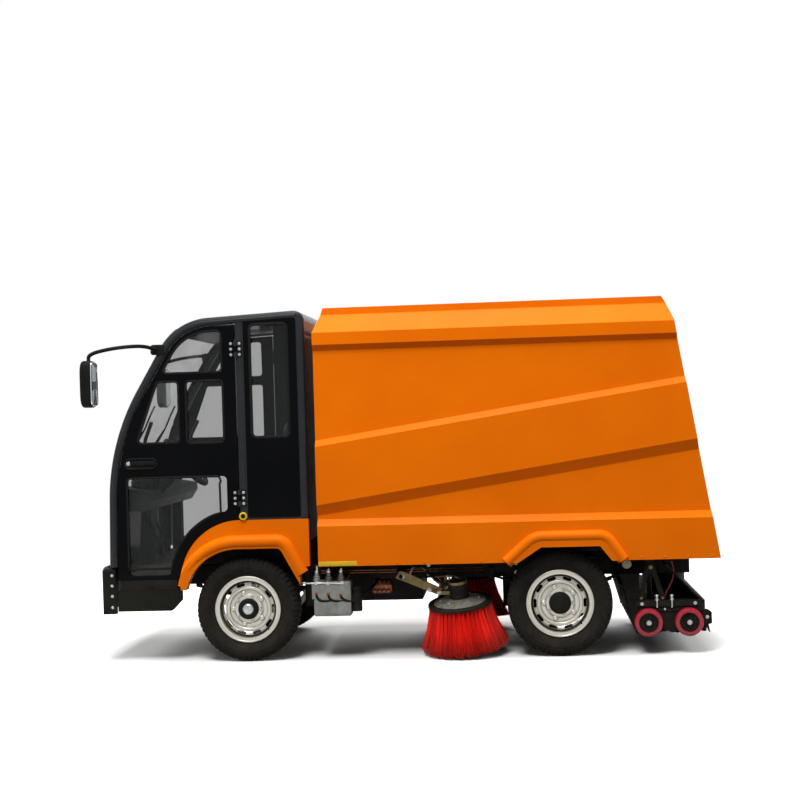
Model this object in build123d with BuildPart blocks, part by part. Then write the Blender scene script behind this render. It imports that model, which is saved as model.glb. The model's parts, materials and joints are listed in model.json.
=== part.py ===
# Small electric street sweeper: cab, tilting hopper, two side brooms and a suction nozzle.
# Millimetres. Front is -X, left is -Y, up is +Z. The origin is under the middle, on the ground.
import math
import os

from build123d import *

os.makedirs("parts", exist_ok=True)

# Overall sizes
FRONT_OVERHANG = 880
WHEELBASE = 1800
REAR_OVERHANG = 900
CAB_HALF = 670
HOPPER_HALF = CAB_HALF + 42
TAIL = WHEELBASE + REAR_OVERHANG
LENGTH = FRONT_OVERHANG + TAIL
AXLE_X = FRONT_OVERHANG - LENGTH / 2
FAR = 2 * LENGTH

# Wheels
TYRE_R = 300
TYRE_W = 175
TYRE_HALF = TYRE_W / 2
WHEEL_Y = CAB_HALF - 10 - TYRE_HALF
RIM_SEAT_R = TYRE_R - 122
RIM_HALF = TYRE_HALF - 21.5
DISH_R = RIM_SEAT_R - 36
VENTS = 10
STUB_R = 20
STUB_REACH = 36
PIN_FIT = 0.05
KINGPIN_Y = WHEEL_Y - 77.5
KINGPIN_R = 16
DRUM_R = 110
BEAM_T = 64

# Chassis
RAIL_IN_Y = 240
RAIL_OUT_Y = 300
RAIL_LOW = 420
RAIL_TOP = 520
LEAF = 10
JACK_PADS = (-560, WHEELBASE - 700)

# Cab
CAB_WALL = 45
INNER_HALF = CAB_HALF - CAB_WALL
PANEL = 35
REAR_WALL = 40
PILLAR = 48
GAP = 6
CAB_REAR = 378
CAB_TOP = 2024
OVER_CAB = CAB_TOP + 6
CAB_EDGE_R = 20
CAB_LOW = 430
DASH_LOW = 880
SCREEN_LOW = 980
ROOF_FRONT = -360
DECK_TOP = 715
SHEET = 25
FENDER_TOP = 820
FENDER_MID_X = -30
FENDER_MID_Z = 470
DOOR_LOW = CAB_LOW + 8
POST_FRONT = -22
HINGE_Y = CAB_HALF + 11
HINGES_Z = (948, 1809)
HINGE_HALF = 48
GLASS = 5
GLASS_DEPTH = 12
GLASS_FIT = 0.4
SILL_LOW = 304
LAMP_Y = CAB_HALF - 240
LAMP_Z = 770
BUMPER_LOW = 290
BUMPER_H = 264
BUMPER_FOLD = 12
SEAT_IN = 90
SEAT_OUT = INNER_HALF - 75
SEAT_MID = (SEAT_IN + SEAT_OUT) / 2
WHEEL_RING_R = 175
MIRROR_Y = CAB_HALF + 185

# Hopper
HOPPER_FRONT = CAB_REAR + 52
HOPPER_LOW = 546
HOPPER_TOP = 2030
ROOF_LOW = HOPPER_TOP - 40
SKIN = 8
HOPPER_WALL_Y = HOPPER_HALF - 67
POST = 45
FLOOR_TOP = 690
FLOOR_T = 10
FLOOR_UNDER = FLOOR_TOP - FLOOR_T
RAIL_EDGE = HOPPER_TOP - 145
REAR_EDGE = HOPPER_TOP - 140
BAND_LOW = 776
PANEL_LOW = BAND_LOW + 38
PANEL_TOP = RAIL_EDGE - 103
LIP_IN = HOPPER_HALF - 127
LIP_OUT = HOPPER_HALF - 82
REAR_SLOPE = 0.1613
LEDGE_RISE = 304
LEDGE_RUN = 2093
LEDGE_SHARE = 0.467
LEDGE_LOW = PANEL_LOW + 82
TILT_X = TAIL - 140
TILT_Z = 600
TILT_PIN_R = 11
GATE_T = 40
GATE_BACK = 12
GATE_GAP = 7
GATE_HINGE_Z = HOPPER_TOP - 68
GATE_HINGE_X = TAIL - (GATE_HINGE_Z - HOPPER_LOW) * REAR_SLOPE - 9.6
GATE_HINGES = (-420, 0, 420)
GATE_KNUCKLE = 30
GATE_RIBS = 4
GATE_RIB = 9
VALANCE_T = 16

# Tilt cylinder
RAM_BASE_X = WHEELBASE + 200
RAM_BASE_Z = 440
RAM_EYE_X = WHEELBASE - 350
RAM_EYE_Z = 620
RAM_R = 30
ROD_R = 18
RAM_PIN_R = 12

# Side brooms
BROOM_TIP_X = WHEELBASE - 552
BROOM_TIP_Y = HOPPER_HALF - 222
BROOM_TIP_Z = 50
BROOM_TIP_R = 250
BROOM_LEN = 248
BROOM_RING_R = 185
BROOM_ROOT_R = 178
BROOM_WALL = 45
TUFTS = 32
TUFT_TIP = 16
TUFT_ROOT = 8
RING_T = 16
DISC_T = 22
SHAFT_R = 15
BROOM_LEAN_OUT = 9
BROOM_LEAN_FRONT = 5
ARM_X = WHEELBASE - 920
ARM_Y = BROOM_TIP_Y - 45
ARM_Z = 450
ARM_T = 26

# Suction nozzle
NOZZLE_FRONT = WHEELBASE + 426
NOZZLE_REAR = TAIL - 83
NOZZLE_LOW = 140
NOZZLE_TOP = 300
NOZZLE_HALF = HOPPER_HALF - 112
NOZZLE_WALL = 12
NOZZLE_WHEEL_R = 80
NOZZLE_WHEEL_W = 45
NOZZLE_WHEEL_Z = 182
NOZZLE_WHEEL_Y = NOZZLE_HALF + 34.5
NOZZLE_WHEEL_X = (NOZZLE_FRONT + 69, NOZZLE_REAR - 95)
PIPE_X = TAIL - 225
PIPE_R = 120
PIPE_LOW = 450
PIPE_TOP = 638
LIFT_X = WHEELBASE + 518
LIFT_Y = NOZZLE_HALF - 130
LIFT_R = 12


def sx(x):
    """Place a length measured back from the front axle in the part's own frame."""
    return AXLE_X + x


def rear_x(z):
    """Slanted rear edge of the hopper at height z, measured from the front axle."""
    return TAIL - (z - HOPPER_LOW) * REAR_SLOPE


def block(x0, x1, y0, y1, z0, z1, mode=Mode.ADD):
    """Box between two corners, x measured from the front axle."""
    with Locations((sx((x0 + x1) / 2), (y0 + y1) / 2, (z0 + z1) / 2)):
        Box(x1 - x0, abs(y1 - y0), z1 - z0, mode=mode)


def side_plate(points, y0, y1, mode=Mode.ADD):
    """Flat outline in the side view, drawn through from y0 to y1 with y0 above y1."""
    with BuildSketch(Plane.XZ.offset(-y0)) as plate:
        with BuildLine():
            Polyline([(sx(x), z) for x, z in points], close=True)
        make_face()
    extrude(plate.sketch, amount=y0 - y1, mode=mode)


def rod(start, end, radius, mode=Mode.ADD):
    """Round bar between two points, x measured from the front axle."""
    p = Vector(sx(start[0]), start[1], start[2])
    q = Vector(sx(end[0]), end[1], end[2])
    with Locations(Plane(origin=p, z_dir=q - p)):
        Cylinder(radius, (q - p).length, align=(Align.CENTER, Align.CENTER, Align.MIN), mode=mode)


def pin(x, y, z, radius, length, mode=Mode.ADD):
    """Round bar across the vehicle, centred on a point, x measured from the front axle."""
    with Locations(Location((sx(x), y, z), (90, 0, 0))):
        Cylinder(radius, length, mode=mode)


def cab_outline(inset, left, right, low, high):
    """Side outline of the cab drawn in by inset, kept between four bounds."""
    nose = (sx(-806), CAB_LOW)
    brow = (sx(-788), 1290)
    crown = (sx(-375), CAB_TOP - 35)
    back = (sx(CAB_REAR), CAB_TOP)
    heel = (sx(CAB_REAR), CAB_LOW)
    with BuildSketch() as outline:
        with BuildLine():
            FilletPolyline(nose, brow, crown, back, heel, radius=(1280, 352, 60))
            Line(heel, nose)
        make_face()
        if inset:
            offset(amount=-inset)
        with Locations((sx((left + right) / 2), (low + high) / 2)):
            Rectangle(right - left, high - low, mode=Mode.INTERSECT)
    return outline.sketch


def cab_strip(outer, inner, half, left, right, low, high):
    """Curved panel that follows the cab outline between two depths, across the cab."""
    strip = cab_outline(outer, left, right, low, high)
    core = cab_outline(inner, -FAR, FAR, -FAR, FAR)
    extrude(Plane.XZ * strip, amount=half, both=True)
    extrude(Plane.XZ * core, amount=FAR, both=True, mode=Mode.SUBTRACT)


def save(part, label):
    """Name a finished part and write it out."""
    part.label = label
    export_step(part, f"parts/{label}.step")


def both_sides(part, label):
    """Write a left piece together with its mirror image as one part."""
    with BuildPart() as pair:
        add(part)
        mirror(part, about=Plane.XZ)
    save(pair.part, label)


def left_and_right(part, label):
    """Write a left piece, and its mirror image as the right one."""
    save(part, f"{label}_left")
    with BuildPart() as other:
        mirror(part, about=Plane.XZ)
    save(other.part, f"{label}_right")


# Chassis rails, with jacking pads under them and the tilt pivot at the tail
with BuildPart() as chassis_rails:
    block(-800, TILT_X + 12, RAIL_IN_Y, RAIL_OUT_Y, RAIL_LOW, RAIL_TOP)
    for pad_x in JACK_PADS:
        block(pad_x - 40, pad_x + 40, RAIL_IN_Y, RAIL_OUT_Y, RAIL_LOW - 20, RAIL_LOW)
    block(TILT_X - 28, TILT_X + 12, RAIL_IN_Y, RAIL_OUT_Y, RAIL_TOP, TILT_Z + 14)
    rod((TILT_X, RAIL_OUT_Y - 2, TILT_Z), (TILT_X, RAIL_OUT_Y + 26, TILT_Z), TILT_PIN_R)
both_sides(chassis_rails.part, "chassis_rails")

# Cross members between the rails: place and width
BAR_LOW = RAIL_LOW + 10
BAR_TOP = RAIL_TOP - 10
RAM_BAR_X = RAM_BASE_X + 70
CROSS_BARS = (
    (-700, 60), (340, 50), (WHEELBASE - 770, 50), (WHEELBASE - 240, 50), (RAM_BAR_X, 50), (LIFT_X, 40),
)
RAM_LUG = (
    (RAM_BASE_X - 20, RAIL_LOW), (RAM_BAR_X - 24, RAIL_LOW), (RAM_BAR_X - 24, RAIL_TOP - 20),
    (RAM_BASE_X - 20, RAM_BASE_Z + 22),
)
with BuildPart() as chassis_cross:
    for cross_x, width in CROSS_BARS:
        block(cross_x - width / 2, cross_x + width / 2, -RAIL_IN_Y, RAIL_IN_Y, BAR_LOW, BAR_TOP)
    for lug_y in (-42, 42):
        side_plate(RAM_LUG, lug_y + 6, lug_y - 6)
    pin(RAM_BASE_X, 0, RAM_BASE_Z, RAM_PIN_R, 88)
    block(-850, -800, -CAB_HALF + 150, CAB_HALF - 150, BAR_LOW, BAR_TOP)
    block(LIFT_X - 28, LIFT_X + 28, -NOZZLE_HALF + 20, NOZZLE_HALF - 20, RAIL_TOP, RAIL_TOP + 40)
    for hand in (-1, 1):
        lift_y = hand * LIFT_Y
        rod((LIFT_X, lift_y, RAIL_TOP - 5), (LIFT_X, lift_y, RAIL_TOP + 45), LIFT_R + 2, mode=Mode.SUBTRACT)
        block(ARM_X - 30, ARM_X + 20, hand * RAIL_OUT_Y, hand * (ARM_Y - 20), ARM_Z - 22, ARM_Z + 28)
        rod((ARM_X, hand * (ARM_Y - 21), ARM_Z), (ARM_X, hand * (ARM_Y + 31), ARM_Z), RAM_PIN_R)
save(chassis_cross.part, "chassis_cross_members")

# Front and rear axles with their leaf springs
BEAM_LOW = TYRE_R - BEAM_T / 2
BEAM_TOP = TYRE_R + BEAM_T / 2
with BuildPart() as front_axle:
    block(-28, 28, -KINGPIN_Y + 40, KINGPIN_Y - 40, BEAM_LOW, BEAM_TOP)
    for hand in (-1, 1):
        block(-30, 30, hand * (KINGPIN_Y - 43), hand * (KINGPIN_Y - 20), BEAM_LOW, BEAM_TOP)
    with Locations((sx(0), KINGPIN_Y, TYRE_R), (sx(0), -KINGPIN_Y, TYRE_R)):
        Cylinder(2 * KINGPIN_R, BEAM_T + 12)
        Cylinder(KINGPIN_R + PIN_FIT, BEAM_T + 26, mode=Mode.SUBTRACT)
save(front_axle.part, "front_axle")

with BuildPart() as rear_axle:
    pin(WHEELBASE, 0, TYRE_R, 40, 2 * (KINGPIN_Y + 5))
    pin(WHEELBASE, 0, TYRE_R, DRUM_R + 5, 200)
    pin(WHEELBASE, 0, TYRE_R, STUB_R, 2 * (WHEEL_Y + STUB_REACH))
    for hand in (-1, 1):
        pin(WHEELBASE, hand * (KINGPIN_Y + 20), TYRE_R, DRUM_R + 5, 40)
    block(WHEELBASE - 330, WHEELBASE - 60, -95, 95, TYRE_R - 85, TYRE_R + 85)
save(rear_axle.part, "rear_axle")

# Leaf springs: middle, reach, inner and outer side, underside, rise and hanger depth
SPRINGS = (
    (0, 380, RAIL_IN_Y + 5, RAIL_OUT_Y - 5, BEAM_TOP, 43),
    (WHEELBASE, 400, RAIL_OUT_Y + 22, RAIL_OUT_Y + 72, TYRE_R + 40, 74),
)
with BuildPart() as springs:
    for mid, reach, y_in, y_out, low, rise in SPRINGS:
        for leaf, share in enumerate((1.0, 0.78, 0.55)):
            top = low + LEAF * (3 - leaf)
            tip = top + rise * share * share
            front = sx(mid - reach * share)
            back = sx(mid + reach * share)
            with BuildSketch(Plane.XZ.offset(-y_out)):
                with BuildLine():
                    ThreePointArc((front, tip), (sx(mid), top), (back, tip))
                    Line((back, tip), (back, tip - LEAF))
                    ThreePointArc((back, tip - LEAF), (sx(mid), top - LEAF), (front, tip - LEAF))
                    Line((front, tip - LEAF), (front, tip))
                make_face()
            extrude(amount=y_out - y_in)
    for end in (-1, 1):
        block(end * 366 - 14, end * 366 + 14, RAIL_IN_Y + 5, RAIL_OUT_Y - 5, RAIL_LOW - 26, RAIL_LOW)
        hanger_x = WHEELBASE + end * 390
        block(hanger_x - 15, hanger_x + 15, RAIL_OUT_Y, RAIL_OUT_Y + 72, RAIL_LOW - 8, RAIL_LOW + 60)
both_sides(springs.part, "leaf_springs")

# Battery pack, one plain block between the rails
with BuildPart() as battery:
    block(CAB_REAR + 42, WHEELBASE - 810, -RAIL_IN_Y, RAIL_IN_Y, RAIL_LOW - 135, RAIL_TOP + 16)
save(battery.part, "battery_pack")

# Steering knuckles, left then right
FORK_TOP = TYRE_R + BEAM_T / 2 + 8
FORK_LOW = TYRE_R - BEAM_T / 2 - 8
with BuildPart() as knuckle:
    with Locations((sx(0), -KINGPIN_Y, FORK_TOP + 11), (sx(0), -KINGPIN_Y, FORK_LOW - 11)):
        Cylinder(30, 22)
    with Locations((sx(0), -KINGPIN_Y, TYRE_R)):
        Cylinder(KINGPIN_R, BEAM_T + 56)
    block(-30, 30, -KINGPIN_Y - 53, -KINGPIN_Y - 37, FORK_LOW - 22, FORK_TOP + 22)
    block(-30, 30, -KINGPIN_Y - 45, -KINGPIN_Y, FORK_TOP, FORK_TOP + 22)
    block(-30, 30, -KINGPIN_Y - 45, -KINGPIN_Y, FORK_LOW - 22, FORK_LOW)
    pin(0, -KINGPIN_Y - 61, TYRE_R, DRUM_R, 20)
    rod((0, -KINGPIN_Y - 65, TYRE_R), (0, -WHEEL_Y - STUB_REACH, TYRE_R), STUB_R)
left_and_right(knuckle.part, "knuckle")

# Wheels: a slotted steel rim and a tyre at each corner
TYRE_SECTION = (
    (RIM_SEAT_R, TYRE_HALF - 29.5), (RIM_SEAT_R + 20, TYRE_HALF - 27.5), (TYRE_R - 60, TYRE_HALF),
    (TYRE_R - 32, TYRE_HALF - 4), (TYRE_R - 10, TYRE_HALF - 15.5), (TYRE_R, TYRE_HALF - 31.5),
)
RIM_FACE = (
    (STUB_R + PIN_FIT, 10), (STUB_R + PIN_FIT, 40), (50, 44), (78, 44), (88, 34), (DISH_R - 24, 30),
    (DISH_R - 2, 44), (RIM_SEAT_R - 12, 34), (RIM_SEAT_R - 12, RIM_HALF), (RIM_SEAT_R + 14, RIM_HALF + 2),
    (RIM_SEAT_R + 15, RIM_HALF - 3), (RIM_SEAT_R - 0.5, RIM_HALF - 4), (RIM_SEAT_R - 0.5, 4 - RIM_HALF),
    (RIM_SEAT_R + 15, 3 - RIM_HALF), (RIM_SEAT_R + 14, -2 - RIM_HALF), (RIM_SEAT_R - 12, -RIM_HALF),
    (RIM_SEAT_R - 12, 24), (DISH_R - 2, 34), (DISH_R - 24, 20), (88, 24), (78, 32), (60, 32), (50, 10),
)
WHEELS = (("front", 0, -1), ("front", 0, 1), ("rear", WHEELBASE, -1), ("rear", WHEELBASE, 1))
for end, wheel_x, hand in WHEELS:
    side_name = "left" if hand < 0 else "right"
    hub = Plane(origin=(sx(wheel_x), hand * WHEEL_Y, TYRE_R), x_dir=(1, 0, 0), z_dir=(0, hand, 0))
    half_plane = Plane(origin=hub.origin, x_dir=hub.x_dir, z_dir=hub.x_dir.cross(hub.z_dir))
    with BuildPart() as tyre:
        with BuildSketch(half_plane):
            with BuildLine():
                inner_half = [(r, -w) for r, w in TYRE_SECTION]
                Polyline(inner_half + list(reversed(TYRE_SECTION)), close=True)
            make_face()
        revolve(axis=Axis(hub.origin, hub.z_dir))
    save(tyre.part, f"tyre_{end}_{side_name}")
    with BuildPart() as rim:
        with BuildSketch(half_plane):
            with BuildLine():
                Polyline(RIM_FACE, close=True)
            make_face()
        revolve(axis=Axis(hub.origin, hub.z_dir))
        with BuildSketch(hub.offset(10)):
            with PolarLocations(DISH_R, VENTS):
                SlotOverall(52, 18, rotation=90)
        extrude(amount=40, mode=Mode.SUBTRACT)
        with Locations(hub.offset(38)):
            Cylinder(34, 16, align=(Align.CENTER, Align.CENTER, Align.MIN))
    save(rim.part, f"rim_{end}_{side_name}")

# Cab floor: footwell, riser and seat deck in one folded sheet, with rockers at the sides
FLOOR_FOLD = (
    (-764, RAIL_TOP), (-376, RAIL_TOP), (-346, DECK_TOP - SHEET), (CAB_REAR - REAR_WALL, DECK_TOP - SHEET),
    (CAB_REAR - REAR_WALL, DECK_TOP), (-364, DECK_TOP), (-394, RAIL_TOP + SHEET), (-764, RAIL_TOP + SHEET),
)
with BuildPart() as cab_floor:
    side_plate(FLOOR_FOLD, INNER_HALF, -INNER_HALF)
    for hand in (-1, 1):
        block(-762, -400, hand * (INNER_HALF - 25), hand * INNER_HALF, CAB_LOW - 5, RAIL_TOP + 5)
save(cab_floor.part, "cab_floor")

# Cab shell between the side frames
with BuildPart() as cab_front:
    cab_strip(0, PANEL, INNER_HALF, -900, -600, RAIL_TOP + 5, SCREEN_LOW)
    with BuildSketch(Plane.YZ.offset(sx(-830))):
        with Locations((-LAMP_Y, LAMP_Z), (LAMP_Y, LAMP_Z)):
            RectangleRounded(151, 111, 30)
    extrude(amount=100, mode=Mode.SUBTRACT)
save(cab_front.part, "cab_front_panel")

with BuildPart() as windscreen:
    cab_strip(8, 14, INNER_HALF - 0.5, -900, ROOF_FRONT - 0.5, SCREEN_LOW + 0.5, OVER_CAB)
save(windscreen.part, "windscreen")

with BuildPart() as cab_roof:
    cab_strip(0, 40, INNER_HALF, ROOF_FRONT, CAB_REAR - REAR_WALL, 1500, OVER_CAB)
save(cab_roof.part, "cab_roof")

with BuildPart() as cab_rear:
    back_wall = cab_outline(0, CAB_REAR - REAR_WALL, CAB_REAR + 10, DECK_TOP - SHEET, OVER_CAB)
    extrude(Plane.XZ * back_wall, amount=INNER_HALF, both=True)
save(cab_rear.part, "cab_rear_wall")


def fender_edge(grow):
    """Upper edge of the front fender: a round arch that runs level to the rear."""
    with BuildSketch() as edge:
        with Locations((sx(FENDER_MID_X), FENDER_MID_Z)):
            Circle(FENDER_TOP - FENDER_MID_Z + grow)
        with Locations((sx(FENDER_MID_X), FENDER_MID_Z - 46)):
            Rectangle(900, 900, align=(Align.CENTER, Align.MAX), mode=Mode.SUBTRACT)
        with Locations((sx(FENDER_MID_X), FENDER_TOP + grow)):
            run = CAB_REAR - 4 - FENDER_MID_X
            Rectangle(run, FENDER_TOP + grow - HOPPER_LOW, align=(Align.MIN, Align.MAX))
    return edge.sketch


def wheel_opening(grow):
    """Front wheel opening in the fender."""
    top = TYRE_R + 357
    with BuildSketch() as opening:
        with BuildLine():
            FilletPolyline(
                (sx(-355), top - 305), (sx(-50), top - 305), (sx(-50), TYRE_R), (sx(330), TYRE_R),
                (sx(330), TYRE_R + 125), (sx(205), top), (sx(-50), top), radius=(1, 1, 1, 1, 40),
            )
            RadiusArc((sx(-50), top), (sx(-355), top - 305), -305)
        make_face()
        if grow:
            offset(amount=grow)
    return opening.sketch


# Front fenders around the steered wheels
FLARE = 76
FLARE_OUT = 26
FLARE_FOLD = 20
with BuildPart() as fender:
    extrude(Plane.XZ * fender_edge(0), amount=CAB_HALF + 2)
    extrude(Plane.XZ * wheel_opening(0), amount=FAR, mode=Mode.SUBTRACT)
    block(-900, 900, 0, -INNER_HALF, 0, OVER_CAB, mode=Mode.SUBTRACT)
with BuildPart() as flare:
    extrude(Plane.XZ * wheel_opening(FLARE), amount=CAB_HALF + FLARE_OUT)
    chamfer(flare.faces().sort_by(Axis.Y)[0].edges(), FLARE_FOLD)
    extrude(Plane.XZ * wheel_opening(0), amount=FAR, mode=Mode.SUBTRACT)
    extrude(Plane.XZ * fender_edge(0), amount=FAR, mode=Mode.INTERSECT)
    block(-900, 900, 0, -CAB_HALF, 0, OVER_CAB, mode=Mode.SUBTRACT)
with BuildPart() as fender_done:
    add(fender.part)
    add(flare.part)
both_sides(fender_done.part, "front_fenders")


def door_outline(grow):
    """Outline of the door, or of its opening when grown by the running gap."""
    with BuildSketch() as outline:
        add(cab_outline(PILLAR + GAP - grow, -900, POST_FRONT - GAP + grow, DOOR_LOW - grow, OVER_CAB))
        add(fender_edge(GAP - grow), mode=Mode.SUBTRACT)
    return outline.sketch


# Straight-edged window outlines in the door: corner points
WINDOW_R = 22
DOOR_WINDOWS = (
    ((-366, 1278), (-366, 1632), (-492, 1632), (-622, 1278)),
    ((-104, 1272), (-104, 1632), (-321, 1632), (-321, 1272)),
)


def flat_pane(points):
    """Window pane with straight edges and rounded corners."""
    with BuildSketch() as pane:
        with BuildLine():
            Polyline([(sx(x), z) for x, z in points], close=True)
        make_face()
        fillet(pane.vertices(), WINDOW_R)
    return pane.sketch


def top_pane():
    """Upper door pane, which follows the curve of the roof."""
    with BuildSketch() as pane:
        add(cab_outline(80, -900, -106, 1680, OVER_CAB))
        corners = pane.vertices().filter_by(lambda v: v.Y < 1690 or v.X > sx(-120))
        fillet(corners, WINDOW_R - 2)
    return pane.sketch


def low_pane():
    """Lower door pane, cut round the wheel arch."""
    with BuildSketch() as pane:
        with Locations((sx(-390), 793)):
            Rectangle(590, 568)
        add(fender_edge(62), mode=Mode.SUBTRACT)
        fillet(pane.vertices(), WINDOW_R + 2)
    return pane.sketch


def door_windows(fit):
    """All four panes of the door, drawn in by the fit."""
    panes = [flat_pane(points) for points in DOOR_WINDOWS]
    panes += [top_pane(), low_pane()]
    with BuildSketch() as windows:
        for pane in panes:
            add(pane)
        if fit:
            offset(amount=-fit)
    return windows.sketch


def quarter_window(fit):
    """Quarter window behind the door, drawn in by the fit."""
    with BuildSketch() as pane:
        with Locations((sx(170), 1622)):
            RectangleRounded(218 - 2 * fit, 653 - 2 * fit, 26 - fit)
    return pane.sketch


# Cab side frames: pillar, roof rail, hinge post and quarter panel
LEAF_T = 5
PIN_R = 8
with BuildPart() as cab_side:
    extrude(Plane.XZ * cab_outline(0, -900, 900, CAB_LOW, OVER_CAB), amount=CAB_HALF)
    outer_face = cab_side.faces().sort_by(Axis.Y)[0]
    fillet(outer_face.edges().filter_by(lambda edge: edge.center().Z > CAB_LOW + 1), CAB_EDGE_R)
    extrude(Plane.XZ * door_outline(GAP), amount=FAR, mode=Mode.SUBTRACT)
    extrude(Plane.XZ * fender_edge(0), amount=FAR, mode=Mode.SUBTRACT)
    block(-900, 900, 0, -INNER_HALF, 0, OVER_CAB, mode=Mode.SUBTRACT)
    block(-900, POST_FRONT + 30, -INNER_HALF, -CAB_HALF, 0, BUMPER_LOW + BUMPER_H + 10, mode=Mode.SUBTRACT)
    block(-100, 900, -INNER_HALF, -CAB_HALF, 0, FENDER_TOP, mode=Mode.SUBTRACT)
    extrude(Plane.XZ * quarter_window(0), amount=FAR, mode=Mode.SUBTRACT)
    for hinge_z in HINGES_Z:
        block(POST_FRONT + 10, 16, -CAB_HALF, -CAB_HALF - LEAF_T, hinge_z - HINGE_HALF, hinge_z + HINGE_HALF)
        for end_z in (hinge_z - 33, hinge_z + 33):
            block(POST_FRONT, POST_FRONT + 12, -CAB_HALF, -HINGE_Y, end_z - 14, end_z + 14)
            with Locations((sx(POST_FRONT), -HINGE_Y, end_z)):
                Cylinder(PIN_R, 28)
left_and_right(cab_side.part, "cab_side")

# Doors, hung on the post behind them
with BuildPart() as door:
    extrude(Plane.XZ * door_outline(0), amount=CAB_HALF)
    block(-900, 900, 0, -CAB_HALF + PANEL + 1, 0, OVER_CAB, mode=Mode.SUBTRACT)
    extrude(Plane.XZ * door_windows(0), amount=FAR, mode=Mode.SUBTRACT)
    for hinge_z in HINGES_Z:
        block(-64, POST_FRONT - 10, -CAB_HALF, -CAB_HALF - LEAF_T, hinge_z - HINGE_HALF, hinge_z + HINGE_HALF)
        block(POST_FRONT - 12, POST_FRONT, -CAB_HALF, -HINGE_Y, hinge_z - 16, hinge_z + 16)
        with Locations((sx(POST_FRONT), -HINGE_Y, hinge_z)):
            Cylinder(PIN_R, 32)
left_and_right(door.part, "door")

with BuildPart() as door_glass:
    extrude(Plane.XZ * door_windows(GLASS_FIT), amount=CAB_HALF - GLASS_DEPTH)
    block(-900, 900, 0, -CAB_HALF + GLASS_DEPTH + GLASS, 0, OVER_CAB, mode=Mode.SUBTRACT)
left_and_right(door_glass.part, "door_glass")

with BuildPart() as quarter_glass:
    extrude(Plane.XZ.offset(CAB_HALF - GLASS_DEPTH - GLASS) * quarter_window(GLASS_FIT), amount=GLASS)
both_sides(quarter_glass.part, "quarter_glass")

# Bumper and the sills under the doors
BUMPER_EDGE = ((-770, CAB_HALF - 2), (-846, CAB_HALF - 2), (-FRONT_OVERHANG, CAB_HALF - 130))
BUMPER_BACK = ((-850, CAB_HALF - 140), (-822, CAB_HALF - 40), (-770, CAB_HALF - 40))
with BuildPart() as bumper:
    with BuildSketch(Plane.XY.offset(BUMPER_LOW)):
        with BuildLine():
            left_run = [(sx(x), -y) for x, y in BUMPER_EDGE] + [(sx(x), y) for x, y in reversed(BUMPER_EDGE)]
            back_run = [(sx(x), y) for x, y in reversed(BUMPER_BACK)] + [(sx(x), -y) for x, y in BUMPER_BACK]
            Polyline(left_run + back_run, close=True)
        make_face()
    extrude(amount=BUMPER_H)
    top_edges = bumper.edges().group_by(Axis.Z)[-1]
    rim = top_edges.filter_by(lambda edge: edge.center().X < sx(-846) or abs(edge.center().Y) > CAB_HALF - 10)
    chamfer(rim, BUMPER_FOLD)
save(bumper.part, "front_bumper")

SILL_TOP = CAB_LOW - 5
SILL = ((-758, SILL_TOP), (-758, SILL_LOW), (-442, SILL_LOW), (-388, SILL_LOW + 56), (-388, SILL_TOP))
with BuildPart() as sill:
    side_plate(SILL, -INNER_HALF + 25, -CAB_HALF + 4)
both_sides(sill.part, "side_sills")

# Lamps
with BuildPart() as headlamps:
    with BuildSketch(Plane.YZ.offset(sx(-822))):
        with Locations((-LAMP_Y, LAMP_Z), (LAMP_Y, LAMP_Z)):
            RectangleRounded(150, 110, 29.5)
    extrude(amount=50)
save(headlamps.part, "headlamps")

TAIL_LAMP_Y = HOPPER_WALL_Y - 105
with BuildPart() as tail_lamps:
    for hand in (-1, 1):
        low_x = rear_x(580)
        high_x = rear_x(650)
        side_plate(
            [(low_x - GATE_BACK, 580), (low_x - 2, 580), (high_x - 2, 650), (high_x - GATE_BACK, 650)],
            hand * TAIL_LAMP_Y + 60,
            hand * TAIL_LAMP_Y - 60,
        )
save(tail_lamps.part, "tail_lamps")

# Mirrors on arms from the front pillars
MIRROR_BEND = (-560, -CAB_HALF - 130, 1840)
MIRROR_END = (-836, -MIRROR_Y + 5, 1800)
with BuildPart() as mirror_head:
    with Locations((sx(-838), -MIRROR_Y, 1628)):
        Box(76, 150, 270)
    fillet(mirror_head.edges(), 24)
with BuildPart() as mirror_left:
    block(-520, -440, -CAB_HALF, -CAB_HALF - 12, 1790, 1850)
    rod((-480, -CAB_HALF - 6, 1820), MIRROR_BEND, 11)
    rod(MIRROR_BEND, MIRROR_END, 11)
    rod((-836, -MIRROR_Y + 5, 1805), (-836, -MIRROR_Y + 5, 1740), 11)
    add(mirror_head.part)
both_sides(mirror_left.part, "mirrors")

# Seats, dashboard and steering wheel
SEAT_SIDE = (
    (-130, DECK_TOP), (250, DECK_TOP), (250, DECK_TOP + 85), (318, DECK_TOP + 705), (250, DECK_TOP + 715),
    (160, DECK_TOP + 165), (-130, DECK_TOP + 185),
)
with BuildPart() as seat:
    side_plate(SEAT_SIDE, -SEAT_IN, -SEAT_OUT)
both_sides(seat.part, "seats")

WHEEL_PLANE = Plane(origin=(sx(-415), -SEAT_MID, 1153), x_dir=(0, 1, 0), z_dir=(225, 0, 193))
DASH_SIDE = (
    (-748, DASH_LOW), (-600, DASH_LOW), (-560, DASH_LOW + 60), (-560, DASH_LOW + 110), (-744, DASH_LOW + 140),
)
PEDESTAL = ((-700, RAIL_TOP + SHEET), (-640, RAIL_TOP + SHEET), (-620, DASH_LOW), (-680, DASH_LOW))
with BuildPart() as dashboard:
    side_plate(DASH_SIDE, INNER_HALF - 25, -INNER_HALF + 25)
    side_plate(PEDESTAL, -SEAT_MID + 70, -SEAT_MID - 70)
    column = WHEEL_PLANE.offset(-10.5).origin
    rod((-640, -SEAT_MID, DASH_LOW + 80), (column.X - sx(0), -SEAT_MID, column.Z), 24)
save(dashboard.part, "dashboard")

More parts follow.
